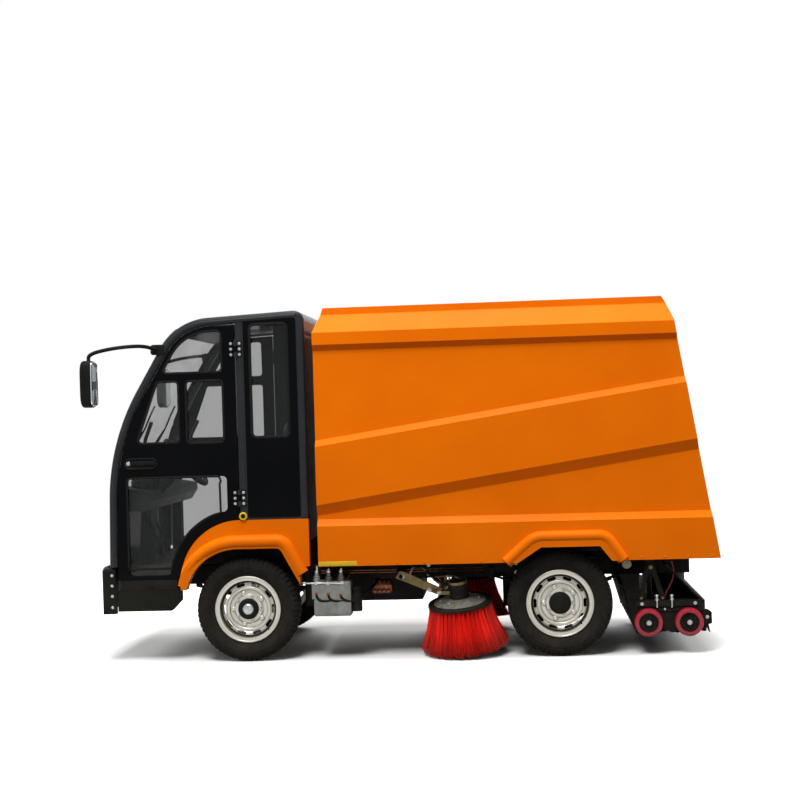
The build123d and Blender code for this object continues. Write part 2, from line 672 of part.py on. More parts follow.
with BuildPart() as steering_wheel:
    with Locations(WHEEL_PLANE):
        Torus(WHEEL_RING_R, 13)
        Cylinder(34, 20)
    with BuildSketch(WHEEL_PLANE.offset(-5)):
        with PolarLocations(0, 3, start_angle=30):
            Rectangle(WHEEL_RING_R - 3, 30, align=(Align.MIN, Align.CENTER))
    extrude(amount=10)
save(steering_wheel.part, "steering_wheel")

# Hydraulic valve box on the left, hung from the rail
VALVE_X = CAB_REAR + 10
VALVE_Y = CAB_HALF - 15
with BuildPart() as valve_box:
    block(VALVE_X, VALVE_X + 218, -VALVE_Y, -VALVE_Y + 95, 252, 455)
    block(VALVE_X + 52, VALVE_X + 172, -VALVE_Y + 95, -RAIL_OUT_Y, RAIL_LOW + 10, RAIL_LOW + 32)
    block(VALVE_X + 218, VALVE_X + 272, -VALVE_Y + 15, -VALVE_Y + 80, 276, 420)
save(valve_box.part, "valve_box")

# Tow eye under the bumper
EYE_X = -840
EYE_Z = BUMPER_LOW - 28
EYE_OUTLINE = (
    (EYE_X - 35, BUMPER_LOW), (EYE_X - 35, EYE_Z - 10), (EYE_X - 15, EYE_Z - 32), (EYE_X + 15, EYE_Z - 32),
    (EYE_X + 35, EYE_Z - 10), (EYE_X + 35, BAR_LOW), (EYE_X - 8, BAR_LOW), (EYE_X - 8, BUMPER_LOW),
)
with BuildPart() as tow_eye:
    side_plate(EYE_OUTLINE, 9, -9)
    pin(EYE_X, 0, EYE_Z, 15, 20, mode=Mode.SUBTRACT)
save(tow_eye.part, "tow_eye")


def hopper_folds(shift, depth):
    """Folds of the hopper's side in cross section from the top down, slanted ledges raised by shift."""
    step = HOPPER_HALF - 27 - depth
    out = HOPPER_HALF - depth
    fold1 = PANEL_LOW + (PANEL_TOP - PANEL_LOW) * LEDGE_SHARE + shift
    fold2 = LEDGE_LOW + shift * 1.03
    return [
        (LIP_IN, ROOF_LOW - depth), (LIP_OUT - depth / 2, ROOF_LOW - depth), (out, RAIL_EDGE - depth / 2),
        (out, PANEL_TOP + 33), (step, PANEL_TOP), (step, fold1), (out, fold1 - 35), (out, fold2),
        (step - 3, fold2 - 62), (step - 3, PANEL_LOW), (out, BAND_LOW), (out, HOPPER_LOW - depth),
    ]


HOPPER_OUTLINE = (
    (HOPPER_FRONT, HOPPER_LOW), (HOPPER_FRONT, RAIL_EDGE), (HOPPER_FRONT + 43, ROOF_LOW),
    (rear_x(REAR_EDGE) - 37, ROOF_LOW), (rear_x(REAR_EDGE), REAR_EDGE), (TAIL, HOPPER_LOW),
)
HOLLOW_OUTLINE = (
    (HOPPER_FRONT + POST, HOPPER_LOW - 100), (HOPPER_FRONT + POST, HOPPER_TOP),
    (rear_x(HOPPER_TOP) - POST - GATE_T, HOPPER_TOP),
    (rear_x(HOPPER_LOW - 100) - POST - GATE_T, HOPPER_LOW - 100),
)
ARCH_OUT = (
    (WHEELBASE - 352, HOPPER_LOW - 40), (WHEELBASE - 210, 655), (WHEELBASE - 104, 696),
    (WHEELBASE + 233, 696), (WHEELBASE + 310, 650), (WHEELBASE + 412, HOPPER_LOW - 40),
)
ARCH_FLARE = 24
ARCH_SLOPE = 38
ARCH_IN = (
    (WHEELBASE - 240, HOPPER_LOW - 6), (WHEELBASE - 100, 630), (WHEELBASE + 230, 630),
    (WHEELBASE + 300, HOPPER_LOW - 6),
)
HOPPER_MOUTH = ((HOPPER_WALL_Y, HOPPER_LOW), (HOPPER_WALL_Y, RAIL_EDGE - 15), (LIP_IN, ROOF_LOW - 35))
HOPPER_RUN = TAIL - HOPPER_FRONT + 30
HOPPER_ENDS = ((HOPPER_FRONT, 0), (HOPPER_FRONT + HOPPER_RUN, LEDGE_RISE * HOPPER_RUN / LEDGE_RUN))

# Hopper side walls: folded sheet with a post at each end and a wheel arch
with BuildPart() as hopper_hollow:
    for at_x, shift in HOPPER_ENDS:
        with BuildSketch(Plane(origin=(sx(at_x), 0, 0), x_dir=(0, -1, 0), z_dir=(-1, 0, 0))):
            with BuildLine():
                middle = [(0, HOPPER_LOW - SKIN), (0, ROOF_LOW - SKIN)]
                Polyline(middle + hopper_folds(shift, SKIN), close=True)
            make_face()
    loft(ruled=True)
    side_plate(HOLLOW_OUTLINE, 0, -HOPPER_HALF, mode=Mode.INTERSECT)
with BuildPart() as hopper_side:
    for at_x, shift in HOPPER_ENDS:
        with BuildSketch(Plane(origin=(sx(at_x), 0, 0), x_dir=(0, -1, 0), z_dir=(-1, 0, 0))):
            with BuildLine():
                Polyline(list(HOPPER_MOUTH) + hopper_folds(shift, 0), close=True)
            make_face()
    loft(ruled=True)
    add(hopper_hollow.part, mode=Mode.SUBTRACT)
    with BuildSketch(Plane.XZ.offset(HOPPER_HALF - SKIN)) as arch:
        with BuildLine():
            Polyline([(sx(x), z) for x, z in ARCH_OUT], close=True)
        make_face()
    extrude(arch.sketch, amount=SKIN + ARCH_FLARE, taper=ARCH_SLOPE)
    side_plate(ARCH_IN, -WHEEL_Y, -FAR, mode=Mode.SUBTRACT)
    side_plate(HOPPER_OUTLINE, 0, -FAR, mode=Mode.INTERSECT)
left_and_right(hopper_side.part, "hopper_side")

# Hopper front wall, roof and floor
with BuildPart() as hopper_front:
    with BuildSketch(Plane.YZ.offset(sx(HOPPER_FRONT))):
        with BuildLine():
            right_edge = list(HOPPER_MOUTH) + [(LIP_IN, ROOF_LOW)]
            Polyline(right_edge + [(-y, z) for y, z in reversed(right_edge)], close=True)
        make_face()
    extrude(amount=POST)
    block(HOPPER_FRONT + SKIN, FAR, -LIP_IN + 30, LIP_IN - 30, FLOOR_TOP, ROOF_LOW - 60, mode=Mode.SUBTRACT)
    side_plate(HOPPER_OUTLINE, FAR, -FAR, mode=Mode.INTERSECT)
save(hopper_front.part, "hopper_front_wall")

ROOF_SIDE = (
    (HOPPER_FRONT + 43, ROOF_LOW), (HOPPER_FRONT + 56, HOPPER_TOP), (rear_x(REAR_EDGE) - 60, HOPPER_TOP),
    (rear_x(REAR_EDGE) - 37, ROOF_LOW),
)
ROOF_RUN = rear_x(REAR_EDGE) - 60 - HOPPER_FRONT - 56
ROOF_SWAGES = 4
SWAGE_DEPTH = 5
HINGE_BAR_LOW = ROOF_LOW - 28
HINGE_EAR = (
    (GATE_HINGE_X - 30, ROOF_LOW), (GATE_HINGE_X - 30, GATE_HINGE_Z + 2), (GATE_HINGE_X, GATE_HINGE_Z - 4),
    (GATE_HINGE_X, GATE_HINGE_Z + 8), (GATE_HINGE_X - 15, ROOF_LOW),
)
with BuildPart() as hopper_roof:
    side_plate(ROOF_SIDE, LIP_OUT - 2, -LIP_OUT + 2)
    block(
        HOPPER_FRONT + 80, GATE_HINGE_X - 90, -LIP_IN + 40, LIP_IN - 40, ROOF_LOW - 1, HOPPER_TOP - SKIN,
        mode=Mode.SUBTRACT,
    )
    for swage in range(1, ROOF_SWAGES + 1):
        mid_x = HOPPER_FRONT + 56 + ROOF_RUN * swage / (ROOF_SWAGES + 1)
        groove = [
            (mid_x - 40, HOPPER_TOP + 1), (mid_x - 25, HOPPER_TOP - SWAGE_DEPTH),
            (mid_x + 25, HOPPER_TOP - SWAGE_DEPTH), (mid_x + 40, HOPPER_TOP + 1),
        ]
        side_plate(groove, LIP_IN - 60, -LIP_IN + 60, mode=Mode.SUBTRACT)
    block(GATE_HINGE_X - 70, GATE_HINGE_X - 24, -LIP_IN + 5, LIP_IN - 5, HINGE_BAR_LOW, ROOF_LOW + 2)
    for hinge_y in GATE_HINGES:
        ear_in = hinge_y + GATE_KNUCKLE + 0.5
        ear_out = ear_in + 31.5
        block(GATE_HINGE_X - 40, GATE_HINGE_X - 16, ear_in, ear_out, HINGE_BAR_LOW + 2, ROOF_LOW)
        side_plate(HINGE_EAR, ear_out, ear_in)
        rod((GATE_HINGE_X, ear_in, GATE_HINGE_Z), (GATE_HINGE_X, ear_out, GATE_HINGE_Z), 12)
save(hopper_roof.part, "hopper_roof")

VALANCE_LOW = HOPPER_LOW + 4
VALANCE = (
    (rear_x(VALANCE_LOW) - GATE_BACK - VALANCE_T, VALANCE_LOW),
    (rear_x(VALANCE_LOW) - GATE_BACK, VALANCE_LOW),
    (rear_x(FLOOR_TOP) - GATE_BACK, FLOOR_TOP), (rear_x(FLOOR_TOP) - GATE_BACK - VALANCE_T, FLOOR_TOP),
)
TILT_EAR = (
    (TILT_X - 60, FLOOR_UNDER), (TILT_X - 26, TILT_Z - 15), (TILT_X, TILT_Z - 28),
    (TILT_X + 26, TILT_Z - 15), (TILT_X + 50, FLOOR_UNDER),
)
RAM_EAR = (
    (RAM_EYE_X - 40, FLOOR_UNDER), (RAM_EYE_X - 16, RAM_EYE_Z - 24), (RAM_EYE_X + 16, RAM_EYE_Z - 24),
    (RAM_EYE_X + 40, FLOOR_UNDER),
)
with BuildPart() as hopper_floor:
    floor_rear = rear_x(FLOOR_TOP) - GATE_BACK - VALANCE_T / 2
    block(HOPPER_FRONT + POST, floor_rear, -HOPPER_WALL_Y, HOPPER_WALL_Y, FLOOR_UNDER, FLOOR_TOP)
    wide_rear = rear_x(FLOOR_TOP) - POST - GATE_T - 2
    wide_half = HOPPER_HALF - SKIN
    block(HOPPER_FRONT + POST + 2, wide_rear, -wide_half, wide_half, FLOOR_UNDER, FLOOR_TOP)
    side_plate(VALANCE, HOPPER_WALL_Y, -HOPPER_WALL_Y)
    for hand in (-1, 1):
        side_plate(TILT_EAR, hand * (RAIL_OUT_Y + 15) + 8, hand * (RAIL_OUT_Y + 15) - 8)
        pin(TILT_X, hand * (RAIL_OUT_Y + 15), TILT_Z, TILT_PIN_R + PIN_FIT, 20, mode=Mode.SUBTRACT)
    for lug_y in (-31, 31):
        side_plate(RAM_EAR, lug_y + 5, lug_y - 5)
save(hopper_floor.part, "hopper_floor")

# Tailgate, hung at its top edge
GATE_LOW = FLOOR_TOP + 10
GATE_TOP = HOPPER_TOP - 90
GATE_HALF = HOPPER_WALL_Y - GATE_GAP
GATE_SIDE = (
    (rear_x(GATE_LOW) - GATE_BACK - GATE_T, GATE_LOW), (rear_x(GATE_LOW) - GATE_BACK, GATE_LOW),
    (rear_x(GATE_TOP) - GATE_BACK, GATE_TOP), (rear_x(GATE_TOP) - GATE_BACK - GATE_T, GATE_TOP),
)
GATE_EDGE = ((GATE_HALF + 2, GATE_LOW - 100), (GATE_HALF + 2, GATE_TOP - 80), (LIP_IN - 7, GATE_TOP + 2))
POCKET_LOW = GATE_LOW + 70
POCKET_TOP = GATE_TOP - 170
GATE_POCKET = (
    (rear_x(POCKET_LOW) - GATE_BACK - GATE_T - 2, POCKET_LOW),
    (rear_x(POCKET_LOW) - GATE_BACK - SKIN, POCKET_LOW),
    (rear_x(POCKET_TOP) - GATE_BACK - SKIN, POCKET_TOP),
    (rear_x(POCKET_TOP) - GATE_BACK - GATE_T - 2, POCKET_TOP),
)
with BuildPart() as tailgate:
    side_plate(GATE_SIDE, GATE_HALF, -GATE_HALF)
    side_plate(GATE_POCKET, GATE_HALF - 70, -GATE_HALF + 70, mode=Mode.SUBTRACT)
    with BuildSketch(Plane.YZ.offset(sx(TAIL - 400))):
        with BuildLine():
            Polyline(list(GATE_EDGE) + [(-y, z) for y, z in reversed(GATE_EDGE)], close=True)
        make_face()
    extrude(amount=500, mode=Mode.INTERSECT)
    for rib in range(1, GATE_RIBS + 1):
        rib_z = GATE_LOW + (GATE_TOP - GATE_LOW) * rib / (GATE_RIBS + 1)
        rib_side = [
            (rear_x(rib_z + rise) - GATE_BACK + out, rib_z + rise)
            for rise, out in ((-45, -2), (-28, GATE_RIB), (28, GATE_RIB), (45, -2))
        ]
        side_plate(rib_side, GATE_HALF - 90, -GATE_HALF + 90)
    for hinge_y in GATE_HINGES:
        near = hinge_y - GATE_KNUCKLE
        far = hinge_y + GATE_KNUCKLE
        block(GATE_HINGE_X - 14, GATE_HINGE_X + 8, near, far, GATE_TOP - 15, GATE_HINGE_Z)
        rod((GATE_HINGE_X, near, GATE_HINGE_Z), (GATE_HINGE_X, far, GATE_HINGE_Z), 12)
save(tailgate.part, "tailgate")

# Tilt cylinder: barrel on the chassis, rod to the hopper floor
RAM_RUN = Vector(RAM_EYE_X - RAM_BASE_X, 0, RAM_EYE_Z - RAM_BASE_Z)
RAM_LEN = RAM_RUN.length


def ram(s):
    """Point on the tilt cylinder's axis at distance s from its base pin."""
    return (RAM_BASE_X + RAM_RUN.X * s / RAM_LEN, 0, RAM_BASE_Z + RAM_RUN.Z * s / RAM_LEN)


with BuildPart() as tilt_barrel:
    rod(ram(16), ram(RAM_LEN - 60), RAM_R)
    rod(ram(50), ram(RAM_LEN), ROD_R + 0.5, mode=Mode.SUBTRACT)
    pin(RAM_BASE_X, 0, RAM_BASE_Z, 2 * RAM_PIN_R, 56)
    pin(RAM_BASE_X, 0, RAM_BASE_Z, RAM_PIN_R + PIN_FIT, 60, mode=Mode.SUBTRACT)
save(tilt_barrel.part, "tilt_barrel")

with BuildPart() as tilt_rod:
    rod(ram(60), ram(RAM_LEN), ROD_R)
    pin(RAM_EYE_X, 0, RAM_EYE_Z, ROD_R + 4, 40)
save(tilt_rod.part, "tilt_rod")

# Side brooms: lift arm with motor, disc and bristle ring, leaning out and forward
UP = (Align.CENTER, Align.CENTER, Align.MIN)
ARM_SIDE = (
    (ARM_X - 32, ARM_Z - 8), (ARM_X - 6, ARM_Z + 32), (ARM_X + 26, ARM_Z + 24), (ARM_X + 230, ARM_Z - 72),
    (ARM_X + 300, ARM_Z - 72), (ARM_X + 300, ARM_Z - 108), (ARM_X + 205, ARM_Z - 108),
)
ADJUSTER_X = ARM_X + 262
ADJUSTER_R = 8
HOSE_R = 9
HOSE_BEND = 38
# Hose from the motor to the arm's root: x, distance out from the arm, height above the arm's pivot
HOSE_ROUTE = ((292, 104, -46), (222, 90, -30), (142, 60, 48), (74, 22, 66), (48, 0, -2))


def tufts(radius, pleat):
    """Closed outline of the bristle tufts: points at the radius, with a valley between each two."""
    turns = [math.pi * step / TUFTS for step in range(2 * TUFTS)]
    reach = [radius - pleat * (step % 2) for step in range(2 * TUFTS)]
    return [(r * math.cos(turn), r * math.sin(turn)) for r, turn in zip(reach, turns)]


for hand, side_name in ((-1, "left"), (1, "right")):
    lean_x = -math.tan(math.radians(BROOM_LEAN_FRONT))
    lean_y = hand * math.tan(math.radians(BROOM_LEAN_OUT))
    lean = Vector(lean_x, lean_y, 1).normalized()
    tip = Plane(
        origin=(sx(BROOM_TIP_X), hand * BROOM_TIP_Y, BROOM_TIP_Z), x_dir=(lean.Z, 0, -lean.X), z_dir=lean
    )
    with BuildPart() as bristles:
        for height, radius, pleat in ((0, BROOM_TIP_R, TUFT_TIP), (BROOM_LEN, BROOM_ROOT_R, TUFT_ROOT)):
            with BuildSketch(tip.offset(height)):
                with BuildLine():
                    Polyline(tufts(radius, pleat), close=True)
                make_face()
        loft(ruled=True)
        with Locations(tip):
            inner_root = BROOM_ROOT_R - BROOM_WALL + 5
            Cone(BROOM_TIP_R - BROOM_WALL, inner_root, BROOM_LEN, align=UP, mode=Mode.SUBTRACT)
    save(bristles.part, f"broom_bristles_{side_name}")
    with BuildPart() as disc:
        with Locations(tip.offset(BROOM_LEN)):
            Cylinder(BROOM_RING_R, RING_T, align=UP)
        with Locations(tip.offset(BROOM_LEN + RING_T)):
            Cone(BROOM_RING_R - 45, 60, DISC_T, align=UP)
        with Locations(tip.offset(BROOM_LEN)):
            Cylinder(SHAFT_R + PIN_FIT, 60, align=UP, mode=Mode.SUBTRACT)
    save(disc.part, f"broom_disc_{side_name}")
    with BuildPart() as arm:
        with Locations(tip.offset(BROOM_LEN + 44)):
            Cylinder(55, 96, align=UP)
        with Locations(tip.offset(BROOM_LEN + 2)):
            Cylinder(SHAFT_R, 50, align=UP)
        side_plate(ARM_SIDE, hand * ARM_Y + ARM_T / 2, hand * ARM_Y - ARM_T / 2)
        block(ARM_X + 240, ARM_X + 330, hand * (ARM_Y - 5), hand * (ARM_Y + 115), ARM_Z - 98, ARM_Z - 78)
        adjuster_y = hand * (ARM_Y + 40)
        rod((ADJUSTER_X, adjuster_y, ARM_Z - 110), (ADJUSTER_X, adjuster_y, ARM_Z), ADJUSTER_R)
        rod((ADJUSTER_X - 38, adjuster_y, ARM_Z), (ADJUSTER_X + 38, adjuster_y, ARM_Z), ADJUSTER_R - 2)
        with BuildLine() as hose_line:
            points = [(sx(ARM_X + x), hand * (ARM_Y + out), ARM_Z + up) for x, out, up in HOSE_ROUTE]
            FilletPolyline(points, radius=HOSE_BEND)
        with BuildSketch(Plane(origin=hose_line.line @ 0, z_dir=hose_line.line % 0)):
            Circle(HOSE_R)
        sweep(path=hose_line.line)
        pin(ARM_X, hand * ARM_Y, ARM_Z, RAM_PIN_R + PIN_FIT, 60, mode=Mode.SUBTRACT)
    save(arm.part, f"broom_arm_{side_name}")

# Suction nozzle: hood, sloped rear plate, neck, lift rods and axle stubs
AXLE_R = 8
NOZZLE_PLATE = (
    (NOZZLE_REAR - 17, NOZZLE_TOP - 10), (NOZZLE_REAR - 3, NOZZLE_TOP - 10),
    (NOZZLE_REAR - 203, NOZZLE_TOP + 200), (NOZZLE_REAR - 217, NOZZLE_TOP + 200),
)
HANGER_TOP = RAIL_TOP - 7
HANGER = (
    (LIFT_X - 78, NOZZLE_TOP - 4), (LIFT_X + 84, NOZZLE_TOP - 4), (LIFT_X + 20, HANGER_TOP),
    (LIFT_X - 20, HANGER_TOP),
)
HANGER_EYE = (
    (LIFT_X - 50, NOZZLE_TOP + 1), (LIFT_X + 54, NOZZLE_TOP + 1), (LIFT_X + 8, HANGER_TOP - 60),
    (LIFT_X - 8, HANGER_TOP - 60),
)
with BuildPart() as nozzle:
    block(NOZZLE_FRONT, NOZZLE_REAR, -NOZZLE_HALF, NOZZLE_HALF, NOZZLE_LOW, NOZZLE_TOP)
    block(
        NOZZLE_FRONT + NOZZLE_WALL, NOZZLE_REAR - NOZZLE_WALL, -NOZZLE_HALF + NOZZLE_WALL + 2,
        NOZZLE_HALF - NOZZLE_WALL - 2, NOZZLE_LOW, NOZZLE_TOP - NOZZLE_WALL, mode=Mode.SUBTRACT,
    )
    side_plate(NOZZLE_PLATE, NOZZLE_HALF - 20, -NOZZLE_HALF + 20)
    notch = NOZZLE_HALF - 260
    block(NOZZLE_REAR - 227, NOZZLE_REAR + 3, -notch, notch, NOZZLE_TOP + 96, FAR, mode=Mode.SUBTRACT)
    neck_low = (PIPE_X, 0, NOZZLE_TOP - NOZZLE_WALL)
    neck_top = (PIPE_X, 0, NOZZLE_TOP + 300)
    rod(neck_low, neck_top, PIPE_R - 20)
    rod(neck_low, neck_top, PIPE_R - 24, mode=Mode.SUBTRACT)
    for hand in (-1, 1):
        hanger_out = hand * (NOZZLE_HALF - 14)
        hanger_in = hand * (NOZZLE_HALF - 26)
        side_plate(HANGER, max(hanger_in, hanger_out), min(hanger_in, hanger_out))
        side_plate(HANGER_EYE, FAR if hand > 0 else 0, 0 if hand > 0 else -FAR, mode=Mode.SUBTRACT)
        pin(LIFT_X, hand * (NOZZLE_HALF - 14), HANGER_TOP - 22, 14, 32)
        lift_y = hand * LIFT_Y
        rod((LIFT_X, lift_y, NOZZLE_TOP - 6), (LIFT_X, lift_y, NOZZLE_TOP + 325), LIFT_R)
        for wheel_x in NOZZLE_WHEEL_X:
            inner_end = (wheel_x, hand * (NOZZLE_HALF - 2), NOZZLE_WHEEL_Z)
            rod(inner_end, (wheel_x, hand * (NOZZLE_HALF + 60), NOZZLE_WHEEL_Z), AXLE_R)
save(nozzle.part, "nozzle")

for end, wheel_x in zip(("front", "rear"), NOZZLE_WHEEL_X):
    with BuildPart() as roller:
        pin(wheel_x, -NOZZLE_WHEEL_Y, NOZZLE_WHEEL_Z, NOZZLE_WHEEL_R, NOZZLE_WHEEL_W)
        bore = AXLE_R + PIN_FIT
        pin(wheel_x, -NOZZLE_WHEEL_Y, NOZZLE_WHEEL_Z, bore, NOZZLE_WHEEL_W + 10, mode=Mode.SUBTRACT)
    left_and_right(roller.part, f"nozzle_wheel_{end}")

# Fixed suction pipe and the barrels of the nozzle lift
with BuildPart() as suction_pipe:
    rod((PIPE_X, 0, PIPE_LOW), (PIPE_X, 0, PIPE_TOP), PIPE_R)
    rod((PIPE_X, 0, PIPE_LOW - 10), (PIPE_X, 0, PIPE_TOP + 10), PIPE_R - 8, mode=Mode.SUBTRACT)
    for hand in (-1, 1):
        lift_y = hand * LIFT_Y
        block(PIPE_X - 20, PIPE_X + 20, hand * (PIPE_R - 3), hand * RAIL_IN_Y, RAIL_TOP - 50, RAIL_TOP - 20)
        rod((LIFT_X, lift_y, RAIL_TOP + 40), (LIFT_X, lift_y, RAIL_TOP + 130), 26)
        rod((LIFT_X, lift_y, RAIL_TOP), (LIFT_X, lift_y, RAIL_TOP + 125), LIFT_R + 0.5, mode=Mode.SUBTRACT)
save(suction_pipe.part, "suction_pipe_and_lift")
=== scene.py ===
import json
import math

import bpy
import numpy as np
from mathutils import Matrix, Vector


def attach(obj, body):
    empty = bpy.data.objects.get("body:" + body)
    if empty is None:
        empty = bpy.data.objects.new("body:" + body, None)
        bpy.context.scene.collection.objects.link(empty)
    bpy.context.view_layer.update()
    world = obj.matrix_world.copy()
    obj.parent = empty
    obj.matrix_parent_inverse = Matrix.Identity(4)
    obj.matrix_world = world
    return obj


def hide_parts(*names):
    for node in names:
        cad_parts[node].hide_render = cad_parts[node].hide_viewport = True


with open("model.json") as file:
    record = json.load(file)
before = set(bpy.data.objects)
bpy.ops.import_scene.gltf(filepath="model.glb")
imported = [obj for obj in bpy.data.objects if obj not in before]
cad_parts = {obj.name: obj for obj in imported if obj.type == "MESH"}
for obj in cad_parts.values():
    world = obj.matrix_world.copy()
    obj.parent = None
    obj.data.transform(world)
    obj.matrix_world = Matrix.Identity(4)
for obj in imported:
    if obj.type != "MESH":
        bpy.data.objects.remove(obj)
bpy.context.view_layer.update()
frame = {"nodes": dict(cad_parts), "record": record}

bl_info = {
    "name": "Street sweeper looks",
    "version": (1, 0, 0),
    "blender": (4, 5, 0),
    "location": "View3D > Sidebar > Sweeper",
    "description": "Dresses the packed street sweeper with finishes, tyres, brooms, trim and a studio stage",
    "category": "Object",
}

NODES = frame["nodes"]
# The front axle on the frame's X axis, and half the width over the doors and over the hopper, in m
AXLE = -0.910
CAB_SIDE = 0.670
HOPPER_SIDE = 0.712
# Middle of the circle that the cab follows round the front wheel, back from the axle and up
ARCH_X, ARCH_Z = -0.030, 0.470
MM = 0.001
# Points on each arc of the cab's outline
ARC_STEPS = 24
# Directions: outward on the left, across, up, ahead and back
OUT, ACROSS, UP, AHEAD, BACK = (0, -1, 0), (0, 1, 0), (0, 0, 1), (-1, 0, 0), (1, 0, 0)
# Edges that turn more than this are shaded as sharp
SHARP = math.radians(38)
# Heights of the door hinges and of each hinge's bolts about its middle
HINGES = (0.948, 1.809)
HINGE_BOLTS = [z + step for z in HINGES for step in (-0.032, 0.0, 0.032)]


def at(x):
    """Places a length measured back from the front axle on the frame's X axis."""
    return AXLE + x


def linear(hex_colour):
    """Turns an sRGB hex colour into linear red, green, blue and full alpha."""
    srgb = [int(hex_colour[i:i + 2], 16) / 255 for i in (1, 3, 5)]
    return tuple(c / 12.92 if c <= 0.04045 else ((c + 0.055) / 1.055) ** 2.4 for c in srgb) + (1.0,)


# Surfaces

def line_of(x, y, z):
    """Points from their coordinates, of which any may be one value for all."""
    return np.stack(np.broadcast_arrays(x, y, z), axis=-1)


def patch(grid, wrap_u=False, wrap_v=False, cap=False):
    """Quads between the neighbours of grid[u, v], closed round where a direction wraps, and with cap
    the first and last rows of v closed by a fan to their mean point."""
    nu, nv = grid.shape[:2]
    ids = np.arange(nu * nv).reshape(nu, nv)
    if wrap_u:
        ids = np.concatenate([ids, ids[:1]], axis=0)
    if wrap_v:
        ids = np.concatenate([ids, ids[:, :1]], axis=1)
    quads = np.stack([ids[:-1, :-1], ids[1:, :-1], ids[1:, 1:], ids[:-1, 1:]], axis=-1).reshape(-1, 4)
    verts = grid.reshape(-1, 3)
    tris = np.zeros((0, 3), int)
    if cap:
        first, last = ids[:, 0], ids[:, -1]
        hub = len(verts)
        verts = np.concatenate([verts, grid[:, :1].mean(axis=0), grid[:, -1:].mean(axis=0)])
        low = np.stack([first[1:], first[:-1], np.full(len(first) - 1, hub)], axis=-1)
        high = np.stack([last[:-1], last[1:], np.full(len(last) - 1, hub + 1)], axis=-1)
        tris = np.concatenate([low, high])
    return verts, quads, tris


def copies(one, shifts):
    """The same patch set down once at each shift, as one patch."""
    verts, quads, tris = one
    shifts = np.asarray(shifts, float).reshape(-1, 3)
    step = (np.arange(len(shifts)) * len(verts))[:, None, None]
    return (
        (verts[None] + shifts[:, None]).reshape(-1, 3),
        (quads[None] + step).reshape(-1, 4),
        (tris[None] + step).reshape(-1, 3),
    )


def mirrored(one):
    """The patch reflected to the other side of the vehicle, with its faces turned to stay outward."""
    verts, quads, tris = one
    return verts * (1, -1, 1), quads[:, ::-1], tris[:, ::-1]


def sides(patches):
    """A list of left patches followed by their mirror images."""
    return list(patches) + [mirrored(one) for one in patches]


def piece(name, patches, finish, body, replaces=()):
    """One object at the origin from a list of patches, with its finish, riding on a body."""
    mesh = bpy.data.meshes.new(name)
    base = np.cumsum([0] + [len(p[0]) for p in patches])
    verts = np.concatenate([p[0] for p in patches])
    quads = np.concatenate([p[1] + b for p, b in zip(patches, base)])
    tris = np.concatenate([p[2] + b for p, b in zip(patches, base)])
    loops = np.concatenate([quads.ravel(), tris.ravel()]).astype(np.int32)
    starts = np.concatenate([np.arange(len(quads)) * 4, 4 * len(quads) + np.arange(len(tris)) * 3])
    mesh.vertices.add(len(verts))
    mesh.vertices.foreach_set("co", verts.astype(np.float32).ravel())
    mesh.loops.add(len(loops))
    mesh.loops.foreach_set("vertex_index", loops)
    mesh.polygons.add(len(starts))
    mesh.polygons.foreach_set("loop_start", starts.astype(np.int32))
    mesh.polygons.foreach_set("use_smooth", np.full(len(starts), True))
    mesh.update(calc_edges=True)
    if mesh.validate():
        raise RuntimeError(f"{name} has faces that don't hold together")
    obj = bpy.data.objects.new(name, mesh)
    bpy.context.scene.collection.objects.link(obj)
    mesh.materials.append(bpy.data.materials[finish])
    mesh.set_sharp_from_angle(angle=SHARP)
    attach(obj, body)
    if replaces:
        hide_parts(*replaces)
    return obj


def pair(name, patches, finish, body, replaces=()):
    """A left piece and its mirror image, each on its own side's body: * in a name stands for the side."""
    made = []
    for side in ("left", "right"):
        turned = patches if side == "left" else [mirrored(one) for one in patches]
        nodes = [node.replace("*", side) for node in replaces]
        made.append(piece(name.replace("*", side), turned, finish, body.replace("*", side), nodes))
    return made


def unit(v):
    """Vectors of length one along the last axis."""
    v = np.asarray(v, float)
    return v / np.maximum(np.linalg.norm(v, axis=-1, keepdims=True), 1e-12)


def sweep(path, profile, ref, closed=False, scale=None):
    """A closed profile carried along a path: at each path point the profile's first axis lies along
    ref crossed with the direction of travel, and its second along what is square to both."""
    path = np.asarray(path, float)
    if closed:
        run = np.roll(path, -1, axis=0) - np.roll(path, 1, axis=0)
    else:
        run = np.gradient(path, axis=0)
    run = unit(run)
    first = unit(np.cross(np.asarray(ref, float), run))
    second = np.cross(run, first)
    profile = np.asarray(profile, float)
    size = np.ones(len(path)) if scale is None else np.asarray(scale, float)
    grid = (
        path[None]
        + (profile[:, 0, None, None] * size[None, :, None]) * first[None]
        + (profile[:, 1, None, None] * size[None, :, None]) * second[None]
    )
    return patch(grid, wrap_u=True, wrap_v=closed, cap=not closed)


def arc(x, z, radius, turn):
    """Flat points at given angles on a circle."""
    return np.stack([x + radius * np.cos(turn), z + radius * np.sin(turn)], axis=-1)


def ring(radius, count):
    """Points on a circle as a profile."""
    return arc(0, 0, radius, np.arange(count) * 2 * np.pi / count)


def tube(path, radius, ref, count, scale=None):
    """A round bar: a circle carried along a path."""
    return sweep(path, ring(radius, count), ref, scale=scale)


def lengths(line):
    """How far each point of a polyline lies along it."""
    return np.concatenate([[0], np.cumsum(np.linalg.norm(np.diff(line, axis=0), axis=1))])


def even_run(line, count):
    """A flat polyline set out again in even steps."""
    far = lengths(line)
    return np.stack([np.interp(np.linspace(0, far[-1], count), far, k) for k in line.T], axis=-1)


def eased(line):
    """A line in space smoothed by a moving mean of nine points."""
    mean = np.ones(9) / 9
    return np.stack([np.convolve(np.pad(k, 4, mode="edge"), mean, "valid") for k in line.T], axis=-1)


